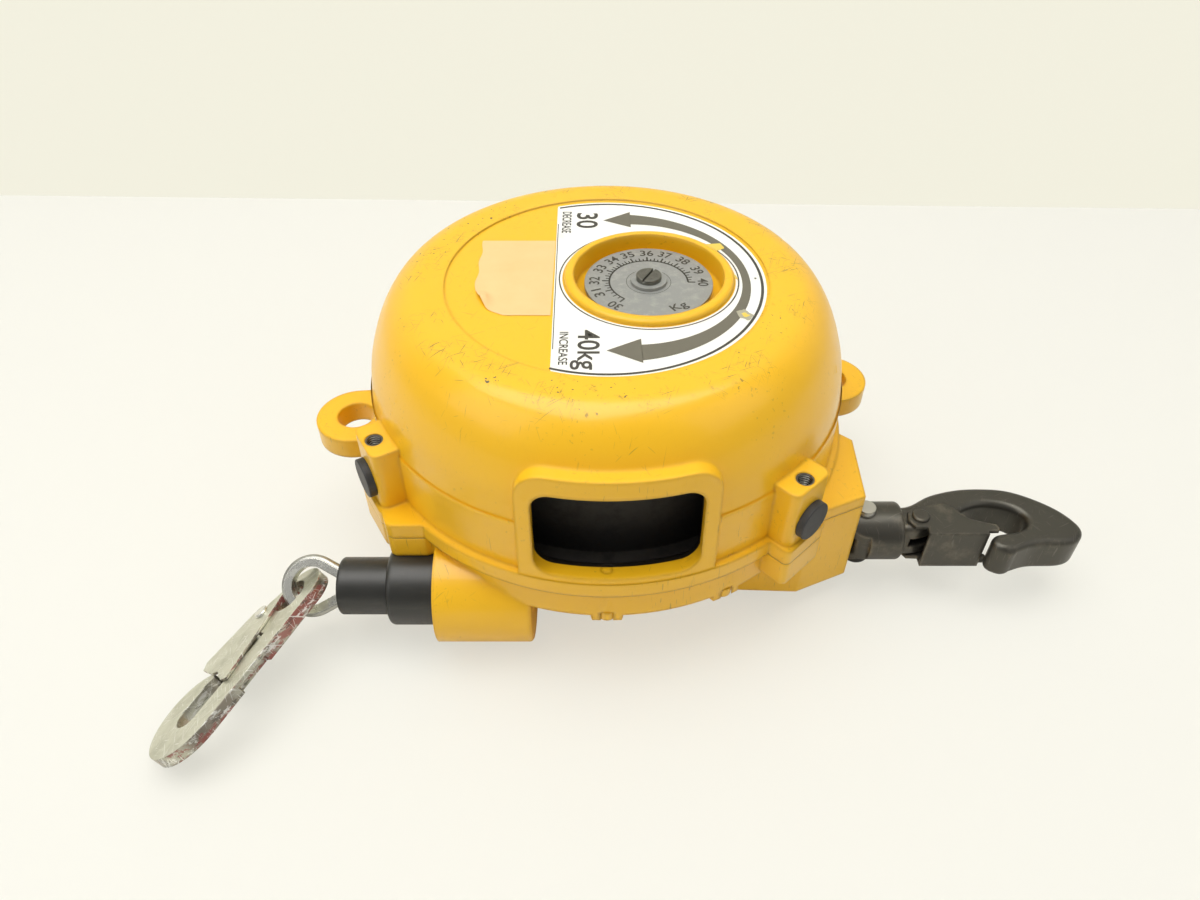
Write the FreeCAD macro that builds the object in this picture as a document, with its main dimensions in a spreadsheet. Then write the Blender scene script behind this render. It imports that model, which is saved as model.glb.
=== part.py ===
import FreeCAD, Part
import math
import os

from FreeCAD import Placement, Rotation, Vector

# Spring balancer lying on its back. Millimetres, +Z is the drum axis, +X points to the
# suspension hook, the rope leaves towards -X and the rear face rests on the plane z = 0.

doc = FreeCAD.newDocument("tool_balancer")

# ---------------------------------------------------------------- driving dimensions
SIZES = {
    "body_height": 150,          # rear face to front face
    "parting_height": 64,        # plane where the two casings meet
    "flange_radius": 120,
    "ledge_thickness": 8,        # flange of the front casing
    "rear_flange_radius": 117,
    "rear_flange_thickness": 17,
    "wall_radius": 116.5,        # straight wall of the front casing
    "flat_radius": 87,           # flat front face
    "shoulder_drop": 62.8,       # height of the rounded shoulder
    "panel_radius": 75.3,        # shallow recess in the front face
    "panel_depth": 0.8,
    "casing_wall": 6.5,
    "roof_thickness": 8,
    "rear_wall": 6,
    "rear_edge_radius": 113,     # rear cone where it leaves the flange
    "rear_face_radius": 78,
    "rear_round": 9,
    "rear_floor": 6,
    "dial_offset": 19.6,         # dial axis from the drum axis, along +X
    "cup_radius": 35,
    "cup_lip": 4.4,
    "lip_height": 2,
    "cup_depth": 8,
    "cup_floor": 6,
    "window_left": -31.5,
    "window_right": 40,
    "window_bottom": 75,
    "window_top": 120.3,
    "window_corner": 8.5,
    "frame_border": 6.8,
    "frame_top": 129.4,
    "frame_top_radius": 116,     # the frame leans in from the flange towards its top
    "block_angle": 51.6,         # each side of the line below
    "block_axis": -97.5,
    "block_hole_radius": 122,    # hole circle of the two blocks
    "block_top": 104,
    "block_width": 24,
    "block_face": 127.6,
    "insert_radius": 4.1,
    "thread_radius": 3.25,
    "insert_depth": 14,
    "plug_radius": 9.4,
    "plug_height": 84,
    "plug_thickness": 3.6,
    "plug_stem": 5,
    "lug_circle": 128.5,
    "lug_angle_left": 185.3,
    "lug_angle_right": 14.7,
    "lug_radius": 20,
    "lug_bore": 9.4,
    "lug_thickness": 11,
    "rope_radius": 2.4,
    "rope_offset": 88.8,         # rope line below the drum axis, towards -Y
    "rope_height": 33,
    "mouth_radius": 26.4,
    "mouth_end": 79.5,           # open end of the mouth, towards -X
    "mouth_root": 34.5,
    "bumper_radius": 18.5,
    "bumper_small_radius": 13.7,
    "bumper_step": 102.7,
    "bumper_end": 126.8,
    "bumper_seat": 66,
    "guide_radius": 8,
    "guide_bore": 3.2,
    "guide_length": 22,
    "ferrule_radius": 7.5,
    "eye_radius": 12.6,
    "eye_reach": 14.5,
    "eye_tilt": 42,
    "load_hook_thickness": 6,
    "arbor_radius": 10,
    "arbor_core_radius": 13,
    "drum_rear": 22,
    "drum_clearance": 38,        # from the front of the drum to the roof
    "drum_small_radius": 85.2,
    "drum_large_radius": 95,
    "cone_start": 28,
    "cone_end": 58,
    "groove_pitch": 6,
    "rope_turns": 4,
    "drum_wall": 6,
    "spring_turns": 7,
    "spring_strip": 1.6,
    "spring_end_gap": 2.5,
    "bearing_radius": 21,
    "bearing_width": 12,
    "wheel_clearance": 26,       # from the middle of the worm wheel to the roof
    "wheel_face": 8,
    "wheel_teeth": 36,
    "wheel_module": 2,
    "worm_pitch_radius": 7,
    "worm_drive_end": 96,
    "pinion_teeth": 14,
    "dial_teeth": 26,
    "dial_gear_clearance": 6.5,  # from the middle of the dial gear to the floor of the cup
    "dial_gear_face": 4,
    "dial_radius": 30,
    "dial_thickness": 2,
    "hanger_offset": 54,         # hook line below the drum axis, towards -Y
    "hanger_height": 34,
    "hanger_radius": 14.7,
    "hanger_pin_x": 129.5,
    "hanger_pin_radius": 4.4,
    "hanger_end": 147.9,
    "hanger_round": 12.4,
    "link_thickness": 10,
    "link_radius": 7,
    "cross_pin_x": 103,
    "cross_pin_radius": 4,
    "bracket_bottom": 12,
    "cross_pin_length": 45.5,
    "shank_radius": 6.5,
    "hook_thickness": 20,
    "screw_circle": 113.3,
    "screw_radius": 2.5,
    "screw_head_radius": 4.2,
    "screw_head_height": 5,
    "screw_length": 25,
    "boss_radius": 7.5,
    "boss_drop": 3.5,
    "running_gap": 0.3,
    "fit_gap": 0.05,
}

# Heights inside the casing, which follow from the sizes above.
HEIGHTS = {
    "roof_height": "=body_height - roof_thickness",
    "cup_floor_height": "=body_height - cup_depth - cup_floor",
    "drum_front": "=roof_height - drum_clearance",
    "wheel_height": "=roof_height - wheel_clearance",
    "dial_gear_height": "=cup_floor_height - dial_gear_clearance",
}

sheet = doc.addObject("Spreadsheet::Sheet", "dims")
for row, (alias, value) in enumerate({**SIZES, **HEIGHTS}.items(), start=1):
    sheet.set("A%d" % row, alias)
    sheet.set("B%d" % row, str(value))
    sheet.setAlias("B%d" % row, alias)
doc.recompute()


def size(alias):
    return float(sheet.get(alias))


parts = []


def keep(obj, label):
    """Register a finished sub-part under the name of its node."""
    obj.Label = label
    parts.append(obj)
    return obj


def feature(label, shape):
    """A sub-part whose shape is worked out from the sheet by Part's own functions."""
    obj = doc.addObject("Part::Feature", label)
    obj.Shape = shape
    obj.Placement = shape.Placement
    return keep(obj, label)


# ---------------------------------------------------------------- shape helpers
def drum_axis(radius, bottom, top, x=0, y=0):
    return Part.makeCylinder(radius, top - bottom, Vector(x, y, bottom))


def along_x(radius, start, end, y, z):
    return Part.makeCylinder(radius, end - start, Vector(start, y, z), Vector(1, 0, 0))


def along_y(radius, start, end, x, z):
    return Part.makeCylinder(radius, end - start, Vector(x, start, z), Vector(0, 1, 0))


def block(x0, x1, y0, y1, z0, z1):
    return Part.makeBox(x1 - x0, y1 - y0, z1 - z0, Vector(x0, y0, z0))


def turned(points, axis_x=0, axis_y=0):
    """Solid of revolution about Z from (radius, height) corners."""
    corners = [Vector(r, 0, z) for r, z in points]
    face = Part.Face(Part.makePolygon(corners + corners[:1]))
    solid = face.revolve(Vector(), Vector(0, 0, 1), 360)
    solid.translate(Vector(axis_x, axis_y, 0))
    return solid


def prism(corners, bottom, top):
    """Upright prism over a plan outline."""
    outline = [Vector(x, y, bottom) for x, y in corners]
    return Part.Face(Part.makePolygon(outline + outline[:1])).extrude(Vector(0, 0, top - bottom))


def polar(radius, degrees):
    angle = math.radians(degrees)
    return Vector(radius * math.cos(angle), radius * math.sin(angle), 0)


def at_angle(shape, degrees):
    turned_shape = shape.copy()
    turned_shape.rotate(Vector(), Vector(0, 0, 1), degrees)
    return turned_shape


def fused(first, *others):
    result = first.fuse(list(others))
    return result.removeSplitter()


def pipe(wire, radius):
    """Round bar along a wire that starts at its first vertex."""
    start = wire.Edges[0]
    origin = start.valueAt(start.FirstParameter)
    direction = start.tangentAt(start.FirstParameter)
    ring = Part.Wire(Part.makeCircle(radius, origin, direction))
    return wire.makePipeShell([ring], True, True)


# ---------------------------------------------------------------- bound primitives
def bind(obj, **expressions):
    for name, expression in expressions.items():
        obj.setExpression(name.replace("__", "."), expression)
    return obj


def cylinder(name, radius, height, x="0", y="0", z="0", axis="z"):
    """Part::Cylinder with its sizes and place bound to the sheet."""
    obj = doc.addObject("Part::Cylinder", name)
    if axis == "x":
        obj.Placement.Rotation = Rotation(Vector(0, 1, 0), 90)
    if axis == "y":
        obj.Placement.Rotation = Rotation(Vector(1, 0, 0), -90)
    bind(obj, Radius=radius, Height=height)
    bind(obj, Placement__Base__x=x, Placement__Base__y=y, Placement__Base__z=z)
    return obj


def tube(label, outer, inner, height, x="0", y="0", z="0", axis="z"):
    """Plain bush: Part::Cut of two bound cylinders."""
    body = cylinder(label + "_body", outer, height, x, y, z, axis)
    bore = cylinder(label + "_bore", inner, height, x, y, z, axis)
    obj = doc.addObject("Part::Cut", label)
    obj.Base = body
    obj.Tool = bore
    return keep(obj, label)


# ---------------------------------------------------------------- shared places
TOP = size("body_height")
PART = size("parting_height")
GAP = size("running_gap")
FIT = size("fit_gap")
DIAL_X = size("dial_offset")
ROPE_Y = -size("rope_offset")
ROPE_Z = size("rope_height")
HANG_Y = -size("hanger_offset")
HANG_Z = size("hanger_height")
PIN_X = size("hanger_pin_x")
LEDGE_TOP = PART + size("ledge_thickness")
FLANGE_BOTTOM = PART - size("rear_flange_thickness")
CUP_TOP = TOP + size("lip_height")
CUP_BOTTOM = TOP - size("cup_depth")
FLOOR_BOTTOM = size("cup_floor_height")
ROOF = size("roof_height")
ARBOR_FOOT = size("rear_floor") + 2
WHEEL_Z = size("wheel_height")
WORM_X = -(size("wheel_teeth") * size("wheel_module") / 2 + size("worm_pitch_radius"))
GEAR_Z = size("dial_gear_height")
GEAR_LOW = GEAR_Z - size("dial_gear_face") / 2
GEAR_HIGH = GEAR_Z + size("dial_gear_face") / 2
BLOCK_ANGLES = [size("block_axis") - size("block_angle"), size("block_axis") + size("block_angle")]
SCREW_ANGLES = [-166, -90, -62, -2, 40, 80, 120, 160]
SCREW_SEAT = FLANGE_BOTTOM + 2
# Plan outline of the flange ear that fills the corner beside the left block.
EAR = [(-80, -60), (-80, -84), (-84, -86), (-98.5, -86), (-101, -84.5), (-105, -75), (-112, -60)]
# Plan outline of the bracket that both casings carry beside the hanger.
BRACKET = [(58, -76), (96, -77.5), (122.4, -65.6), (124, -26), (108, -12), (78, -16)]


def shoulder_edge(inset, top, bottom):
    """Elliptical shoulder line in the XZ plane and the straight wall under it."""
    run = size("wall_radius") - size("flat_radius")
    drop = size("shoulder_drop") - inset * 0.5
    centre = Vector(size("flat_radius") - inset, 0, top - drop)
    curve = Part.BSplineCurve()
    steps = [math.radians(90 * k / 8) for k in range(9)]
    points = [centre + Vector(run * math.sin(a), 0, drop * math.cos(a)) for a in steps]
    curve.interpolate(points, InitialTangent=Vector(1, 0, 0), FinalTangent=Vector(0, 0, -1))
    wall = Part.LineSegment(points[-1], Vector(points[-1].x, 0, bottom))
    return [curve.toShape(), wall.toShape()], points[0]


def shoulder_solid(inset, top, bottom):
    edges, start = shoulder_edge(inset, top, bottom)
    foot = Vector(size("wall_radius") - inset, 0, bottom)
    lid = Part.LineSegment(Vector(0, 0, top), start).toShape()
    base = Part.LineSegment(foot, Vector(0, 0, bottom)).toShape()
    axis = Part.LineSegment(Vector(0, 0, bottom), Vector(0, 0, top)).toShape()
    face = Part.Face(Part.Wire([lid] + edges + [base, axis]))
    return face.revolve(Vector(), Vector(0, 0, 1), 360)


# ---------------------------------------------------------------- front casing
def rounded_window(left, right, bottom, top, corner, depth):
    """Rounded-corner prism along Y through the front wall, for the window and its frame."""
    start = -size("flange_radius") - 20
    box = block(left, right, start, start + depth, bottom, top)
    edges = [e for e in box.Edges if abs(e.tangentAt(e.FirstParameter).y) > 0.99]
    return box.makeFillet(corner, edges)


def window_frame():
    """Raised border of the window, flush with the flange at its foot and leaning in above."""
    frame = rounded_window(size("window_left") - size("frame_border"),
                           size("window_right") + size("frame_border"), PART - 20, size("frame_top"),
                           size("window_corner") + size("frame_border") - 2, 70)
    lean = Part.makeCone(size("flange_radius"), size("frame_top_radius"), size("frame_top") - PART,
                         Vector(0, 0, PART))
    return frame.common(lean)


def block_foot(bottom, top):
    """Wider foot of a square column at the level of the flange."""
    half = size("block_width") / 2 + 2
    foot = block(size("wall_radius") - 16, size("block_face") + 2, -half, half, bottom, top)
    edges = [e for e in foot.Edges
             if abs(e.tangentAt(e.FirstParameter).z) > 0.99 and e.CenterOfMass.x > size("block_face")]
    return foot.makeFillet(3, edges)


def block_column(bottom, top, face):
    """One square column beside the wall, before it is turned to its angle."""
    half = size("block_width") / 2
    column = block(size("wall_radius") - 16, face, -half, half, bottom, top)
    edges = [e for e in column.Edges
             if abs(e.tangentAt(e.FirstParameter).z) > 0.99 and e.CenterOfMass.x > face - 1]
    return column.makeFillet(4, edges)


def lug(angle, bottom, top):
    centre = polar(size("lug_circle"), angle)
    eye = drum_axis(size("lug_radius"), bottom, top, centre.x, centre.y)
    half = size("lug_radius")
    root = at_angle(block(size("wall_radius") - 12, size("lug_circle"), -half, half, bottom, top), angle)
    hole = drum_axis(size("lug_bore"), bottom - 1, top + 1, centre.x, centre.y)
    return eye.fuse(root), hole


def front_casing():
    outer = shoulder_solid(0, TOP, PART)
    ledge = drum_axis(size("flange_radius"), PART, LEDGE_TOP)
    lip = drum_axis(size("cup_radius") + size("cup_lip"), ROOF, CUP_TOP, DIAL_X)
    lip = lip.makeFillet(1.6, [e for e in lip.Edges if abs(e.CenterOfMass.z - CUP_TOP) < 0.01])
    columns = [at_angle(block_column(PART, size("block_top"), size("block_face")), a)
               for a in BLOCK_ANGLES]
    left_lug, left_hole = lug(size("lug_angle_left"), PART, PART + size("lug_thickness"))
    plate = prism(BRACKET, PART, LEDGE_TOP - 1.5)
    ears = [prism(EAR, PART, LEDGE_TOP)] + [at_angle(block_foot(PART, LEDGE_TOP), a) for a in BLOCK_ANGLES]
    shell = fused(outer, ledge, lip, window_frame(), left_lug, plate, *ears, *columns)

    inset = size("casing_wall")
    cavity = shoulder_solid(inset, ROOF, PART)
    floor = drum_axis(size("cup_radius") + size("cup_lip"), FLOOR_BOTTOM, TOP, DIAL_X)
    cavity = cavity.cut(floor)
    shell = shell.cut([cavity, left_hole])
    shell = shell.fuse([worm_pillars(), front_hub()])
    recess = drum_axis(size("panel_radius"), TOP - size("panel_depth"), TOP)
    recess = recess.cut(drum_axis(size("cup_radius") + size("cup_lip"), ROOF, CUP_TOP, DIAL_X))
    cup = drum_axis(size("cup_radius"), CUP_BOTTOM, CUP_TOP + 1, DIAL_X)
    window = rounded_window(size("window_left"), size("window_right"), size("window_bottom"),
                            size("window_top"), size("window_corner"), 70)
    tools = [recess, cup, window, dial_spindle_bore(), front_hub_bore(), worm_bore()]
    for angle in BLOCK_ANGLES:
        tools.append(at_angle(insert_bore(), angle))
        tools.append(at_angle(plug_bore(), angle))
    tools += case_screw_holes(PART - 1, SCREW_SEAT + size("screw_length") + 2, size("screw_radius"))
    return shell.cut(tools)


def front_hub():
    hub = drum_axis(12, FLOOR_BOTTOM - 3, FLOOR_BOTTOM + 1)
    return hub


def front_hub_bore():
    return drum_axis(8, FLOOR_BOTTOM - 4, CUP_BOTTOM - 2)


def dial_spindle_bore():
    return drum_axis(6, FLOOR_BOTTOM - 1, CUP_BOTTOM + 1, DIAL_X)


def worm_pillars():
    """Two hangers under the roof and a boss in the back wall that carry the worm."""
    low = WHEEL_Z - 9
    near = block(WORM_X - 9, WORM_X + 7, -40, -32, low, ROOF + 1)
    far = block(WORM_X - 9, WORM_X + 7, 32, 40, low, ROOF + 1)
    boss = along_y(11, 84, 112, WORM_X, WHEEL_Z)
    inside = shoulder_solid(1, TOP, PART)
    return near.fuse([far, boss]).common(inside)


def worm_bore():
    return along_y(7.5, -42, size("flange_radius"), WORM_X, WHEEL_Z)


def insert_bore():
    top = size("block_top")
    return drum_axis(size("insert_radius"), top - size("insert_depth"), top + 1, size("block_hole_radius"))


def plug_bore():
    stem_start = size("block_face") - 9
    return along_x(size("plug_stem"), stem_start, size("block_face") + 1, 0, size("plug_height"))


def case_screw_holes(bottom, top, radius):
    spots = [polar(size("screw_circle"), a) for a in SCREW_ANGLES]
    return [drum_axis(radius, bottom, top, p.x, p.y) for p in spots]


feature("front_case", front_casing())


# ---------------------------------------------------------------- rear casing
def rear_profile():
    edge = size("rear_edge_radius")
    solid = turned([(0, 0), (size("rear_face_radius"), 0), (edge, FLANGE_BOTTOM),
                    (size("rear_flange_radius"), FLANGE_BOTTOM), (size("rear_flange_radius"), PART), (0, PART)])
    rim = [e for e in solid.Edges if abs(e.CenterOfMass.z) < 0.01 and e.Length > 10]
    return solid.makeFillet(size("rear_round"), rim)


def rear_cavity():
    slope = (size("rear_edge_radius") - size("rear_face_radius")) / FLANGE_BOTTOM
    side = size("rear_wall") * math.sqrt(1 + slope * slope)
    floor = size("rear_floor")
    wide = size("rear_edge_radius") - side
    return turned([(0, floor), (wide - slope * (FLANGE_BOTTOM - floor), floor),
                   (wide, FLANGE_BOTTOM), (wide, PART), (0, PART)])


def mouth():
    """Barrel that the rope leaves through, with the shoulder that runs into the flange."""
    barrel = along_x(size("mouth_radius"), -size("mouth_end"), -size("mouth_root"), ROPE_Y, ROPE_Z)
    ends = [e for e in barrel.Edges if abs(e.CenterOfMass.x + size("mouth_root")) < 0.01]
    return barrel.makeFillet(2, ends)


def screw_bosses():
    """Low bosses under the flange that surround the screw heads, trimmed to the flange."""
    rim = drum_axis(size("rear_flange_radius"), 0, PART)
    spots = [polar(size("screw_circle"), a) for a in SCREW_ANGLES]
    return [drum_axis(size("boss_radius"), FLANGE_BOTTOM - size("boss_drop"), FLANGE_BOTTOM + 1, p.x, p.y).common(rim)
            for p in spots]


def bracket_block():
    solid = prism(BRACKET, size("bracket_bottom"), PART)
    low = [e for e in solid.Edges if abs(e.BoundBox.ZMax - size("bracket_bottom")) < 0.01]
    return solid.makeFillet(3, low)


def rear_casing():
    bases = [at_angle(block_foot(FLANGE_BOTTOM + 3, PART), a) for a in BLOCK_ANGLES]
    ear = prism(EAR, FLANGE_BOTTOM + 4, PART)
    right_lug, right_hole = lug(size("lug_angle_right"), PART - size("lug_thickness"), PART)
    shell = fused(rear_profile(), mouth(), bracket_block(), right_lug, ear, *bases)
    shell = shell.fuse(screw_bosses()).cut([rear_cavity(), right_hole])
    seat = size("bumper_radius") + 0.6
    sleeve = along_x(seat + 2.5, -size("mouth_end"), 1.5 - size("bumper_seat"), ROPE_Y, ROPE_Z)
    shell = shell.fuse([drum_axis(19, size("rear_floor") - 1, size("drum_rear") - 2), sleeve])
    tools = [drum_axis(14, ARBOR_FOOT, size("drum_rear")),
             along_x(seat, -size("bumper_step"), -size("bumper_seat"), ROPE_Y, ROPE_Z),
             along_x(size("guide_radius"), -size("bumper_seat") - 1, -8, ROPE_Y, ROPE_Z)]
    tools += hanger_pocket()
    tools += case_screw_holes(FLANGE_BOTTOM - 1, PART + 1, size("screw_radius") + 0.3)
    tools += case_screw_holes(FLANGE_BOTTOM - 17, SCREW_SEAT, size("screw_head_radius") + 0.4)
    return shell.cut(tools)


def hanger_pocket():
    """Round recess in which the hanger swings, the slot of its link and the cross pin bore."""
    recess = drum_axis(size("hanger_round") + 0.6, size("bracket_bottom") - 1, PART, PIN_X, HANG_Y)
    half = size("link_radius") + GAP
    thick = size("link_thickness") / 2 + FIT
    link_end = size("cross_pin_x") - size("link_radius") - 1
    slot = block(link_end, PIN_X, HANG_Y - half, HANG_Y + half, HANG_Z - thick, HANG_Z + thick)
    pin = drum_axis(size("cross_pin_radius"), 0, size("bracket_bottom") + 46, size("cross_pin_x"), HANG_Y)
    return [recess, slot, pin]


feature("rear_case", rear_casing())


# ---------------------------------------------------------------- casing hardware
def case_screws():
    screws = []
    for angle in SCREW_ANGLES:
        spot = polar(size("screw_circle"), angle)
        head = drum_axis(size("screw_head_radius"), SCREW_SEAT - size("screw_head_height"), SCREW_SEAT,
                         spot.x, spot.y)
        shank = drum_axis(size("screw_radius"), SCREW_SEAT, SCREW_SEAT + size("screw_length"), spot.x, spot.y)
        socket = drum_axis(2.3, SCREW_SEAT - size("screw_head_height") - 1,
                           SCREW_SEAT - size("screw_head_height") + 2.5, spot.x, spot.y)
        screws.append(head.fuse(shank).cut(socket))
    return Part.makeCompound(screws)


def block_inserts():
    inserts = []
    for angle in BLOCK_ANGLES:
        top = size("block_top") - 0.3
        sleeve = drum_axis(size("insert_radius"), size("block_top") - size("insert_depth"), top,
                           size("block_hole_radius"))
        bore = drum_axis(size("thread_radius"), size("block_top") - size("insert_depth") + 1.5, top + 1,
                         size("block_hole_radius"))
        inserts.append(at_angle(sleeve.cut(bore), angle))
    return Part.makeCompound(inserts)


def side_plugs():
    plugs = []
    for angle in BLOCK_ANGLES:
        face = size("block_face")
        cap = along_x(size("plug_radius"), face, face + size("plug_thickness"), 0, size("plug_height"))
        rim = [e for e in cap.Edges if abs(e.CenterOfMass.x - face - size("plug_thickness")) < 0.01]
        cap = cap.makeFillet(0.6, rim)
        stem = along_x(size("plug_stem"), face - 9, face, 0, size("plug_height"))
        plugs.append(at_angle(cap.fuse(stem), angle))
    return Part.makeCompound(plugs)


feature("case_screws", case_screws())
feature("block_inserts", block_inserts())
feature("side_plugs", side_plugs())
tube("rear_bush", "14 mm", "(dims.arbor_radius + dims.fit_gap) * 1 mm",
     "(dims.drum_rear - dims.rear_floor - 4) * 1 mm", z="(dims.rear_floor + 2) * 1 mm")
tube("front_bush", "8 mm", "(4 + dims.fit_gap) * 1 mm", "7 mm",
     z="(dims.body_height - dims.cup_depth - dims.cup_floor - 3) * 1 mm")
tube("dial_bush", "6 mm", "(4 + dims.fit_gap) * 1 mm", "dims.cup_floor * 1 mm", x="dims.dial_offset * 1 mm",
     z="(dims.body_height - dims.cup_depth - dims.cup_floor) * 1 mm")
tube("rope_guide", "dims.guide_radius * 1 mm", "dims.guide_bore * 1 mm", "dims.guide_length * 1 mm",
     x="-dims.bumper_seat * 1 mm", y="-dims.rope_offset * 1 mm", z="dims.rope_height * 1 mm", axis="x")


def worm_bushes():
    bushes = []
    for start in (-40, 32):
        ring = along_y(7.5, start, start + 8, WORM_X, WHEEL_Z)
        bushes.append(ring.cut(along_y(5 + FIT, start - 1, start + 9, WORM_X, WHEEL_Z)))
    return Part.makeCompound(bushes)


feature("worm_bushes", worm_bushes())


# ---------------------------------------------------------------- adjuster: arbor, wheel, pinion
def arbor():
    bottom_bearing = size("drum_rear") + 6
    core_start = bottom_bearing + size("bearing_width")
    core_end = size("drum_front") - size("bearing_width")
    return turned([(0, ARBOR_FOOT + 0.4), (9, ARBOR_FOOT + 0.4), (10, ARBOR_FOOT + 1.4),
                   (size("arbor_radius"), core_start), (size("arbor_core_radius"), core_start),
                   (size("arbor_core_radius"), core_end), (size("arbor_radius"), core_end),
                   (size("arbor_radius"), GEAR_LOW - 1.5), (4, GEAR_LOW - 1.5),
                   (4, FLOOR_BOTTOM + 3), (0, FLOOR_BOTTOM + 3)])


def gear(teeth, module, bottom, top, bore, turn, tip=0.8, root=1.0, width=0.42):
    """Straight-toothed wheel: one trapezoid tooth repeated round the root circle."""
    pitch = teeth * module / 2
    step = 360.0 / teeth
    corners = []
    for k in range(int(teeth)):
        centre = turn + k * step
        half_root = step * width * 0.68
        half_tip = step * width * 0.30
        corners += [polar(pitch - root * module, centre - half_root),
                    polar(pitch + tip * module, centre - half_tip),
                    polar(pitch + tip * module, centre + half_tip),
                    polar(pitch - root * module, centre + half_root)]
    outline = Part.makePolygon([c + Vector(0, 0, bottom) for c in corners + corners[:1]])
    blank = Part.Face(outline).extrude(Vector(0, 0, top - bottom))
    return blank.cut(drum_axis(bore, bottom - 1, top + 1))


def worm_wheel():
    low = WHEEL_Z - size("wheel_face") / 2
    high = WHEEL_Z + size("wheel_face") / 2
    wheel = gear(size("wheel_teeth"), size("wheel_module"), low, high, size("arbor_radius"), 180, tip=0.5)
    hub = drum_axis(17, WHEEL_Z - 6, WHEEL_Z + 6)
    hub = hub.cut(drum_axis(size("arbor_radius"), WHEEL_Z - 16, WHEEL_Z + 14))
    holes = [drum_axis(5, low - 1, high + 1, p.x, p.y) for p in (polar(24.5, 30 + 60 * k) for k in range(6))]
    return wheel.fuse(hub).cut(holes)


MODULE = 2 * DIAL_X / (size("pinion_teeth") + size("dial_teeth"))

feature("arbor", arbor())
feature("worm_wheel", worm_wheel())
tube("arbor_spacer", "15 mm", "dims.arbor_radius * 1 mm", "(dims.wheel_height - 6 - dims.drum_front) * 1 mm",
     z="dims.drum_front * 1 mm")
tube("arbor_nut", "15 mm", "dims.arbor_radius * 1 mm", "3.5 mm", z="(dims.wheel_height + 6) * 1 mm")
feature("dial_pinion", gear(size("pinion_teeth"), MODULE, GEAR_LOW, GEAR_HIGH, 4, 0, tip=0.7))


# ---------------------------------------------------------------- worm
def worm():
    lead = math.pi * size("wheel_module")
    core = size("worm_pitch_radius") - 1.9
    tip = size("worm_pitch_radius") + 1.3
    length = 5 * lead
    helix = Part.makeHelix(lead, length, core - 0.2)
    start = Vector(core - 0.2, 0, 0)
    flank = [(core - 0.2, -1.45), (tip, -0.75), (tip, 0.75), (core - 0.2, 1.45)]
    ring = [Vector(r, 0, z) for r, z in flank]
    thread = Part.Wire([helix]).makePipeShell([Part.makePolygon(ring + ring[:1])], True, True)
    thread.translate(Vector(0, 0, -length / 2))
    shaft = Part.makeCylinder(core, 2 * 31, Vector(0, 0, -31))
    journals = [Part.makeCylinder(5, 9.5, Vector(0, 0, -40.5)), Part.makeCylinder(5, 55, Vector(0, 0, 31))]
    drive = Part.makeCylinder(6.5, 10, Vector(0, 0, size("worm_drive_end") - 10))
    hexagon = Part.Face(Part.makePolygon([polar(4.6, 60 * k) + Vector(0, 0, size("worm_drive_end") - 7)
                                          for k in list(range(6)) + [0]])).extrude(Vector(0, 0, 8))
    solid = shaft.fuse([thread, drive] + journals).cut(hexagon)
    solid.rotate(Vector(), Vector(1, 0, 0), -90)
    solid.translate(Vector(WORM_X, 0, WHEEL_Z))
    return solid


feature("worm", worm())


# ---------------------------------------------------------------- dial
def dial_gear():
    wheel = gear(size("dial_teeth"), MODULE, GEAR_LOW, GEAR_HIGH, 3, 180 + 180.0 / size("dial_teeth"), tip=0.7)
    face = TOP - 3
    spindle = drum_axis(4, GEAR_LOW - 0.5, face - size("dial_thickness"))
    neck = drum_axis(3, face - size("dial_thickness"), face)
    solid = wheel.fuse([spindle, neck]).cut(drum_axis(2, face - 12, face + 1))
    solid.translate(Vector(DIAL_X, 0, 0))
    return solid


def dial_screw():
    head = drum_axis(5.9, TOP - 1.4, TOP + 1, DIAL_X)
    head = head.makeFillet(0.5, [e for e in head.Edges if abs(e.CenterOfMass.z - TOP - 1) < 0.01])
    shank = drum_axis(2, TOP - 13, TOP - 1.4, DIAL_X)
    slot = block(DIAL_X - 6, DIAL_X + 6, -0.6, 0.6, TOP - 0.2, TOP + 2)
    slot.rotate(Vector(DIAL_X, 0, 0), Vector(0, 0, 1), 62)
    return head.fuse(shank).cut(slot)


feature("dial_gear", dial_gear())
tube("dial", "dims.dial_radius * 1 mm", "3 mm", "dims.dial_thickness * 1 mm", x="dims.dial_offset * 1 mm",
     z="(dims.body_height - 3 - dims.dial_thickness) * 1 mm")
tube("dial_collar", "8.5 mm", "2.2 mm", "1.6 mm", x="dims.dial_offset * 1 mm",
     z="(dims.body_height - 3) * 1 mm")
feature("dial_screw", dial_screw())


# ---------------------------------------------------------------- drum
DRUM_LOW = size("drum_rear")
DRUM_RIM = size("drum_front") - 5
HUB_LOW = DRUM_LOW + 4
CHAMBER = size("drum_large_radius") - 2 * size("drum_wall")
CHAMBER_FLOOR = DRUM_LOW + 18
COVER_HUB_LOW = size("drum_front") - size("bearing_width") - 1.5


def turn_radius(index):
    """Radius of the rope's centre line on one turn of the cone."""
    return size("rope_offset") + 0.277 * index * size("groove_pitch")


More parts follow.
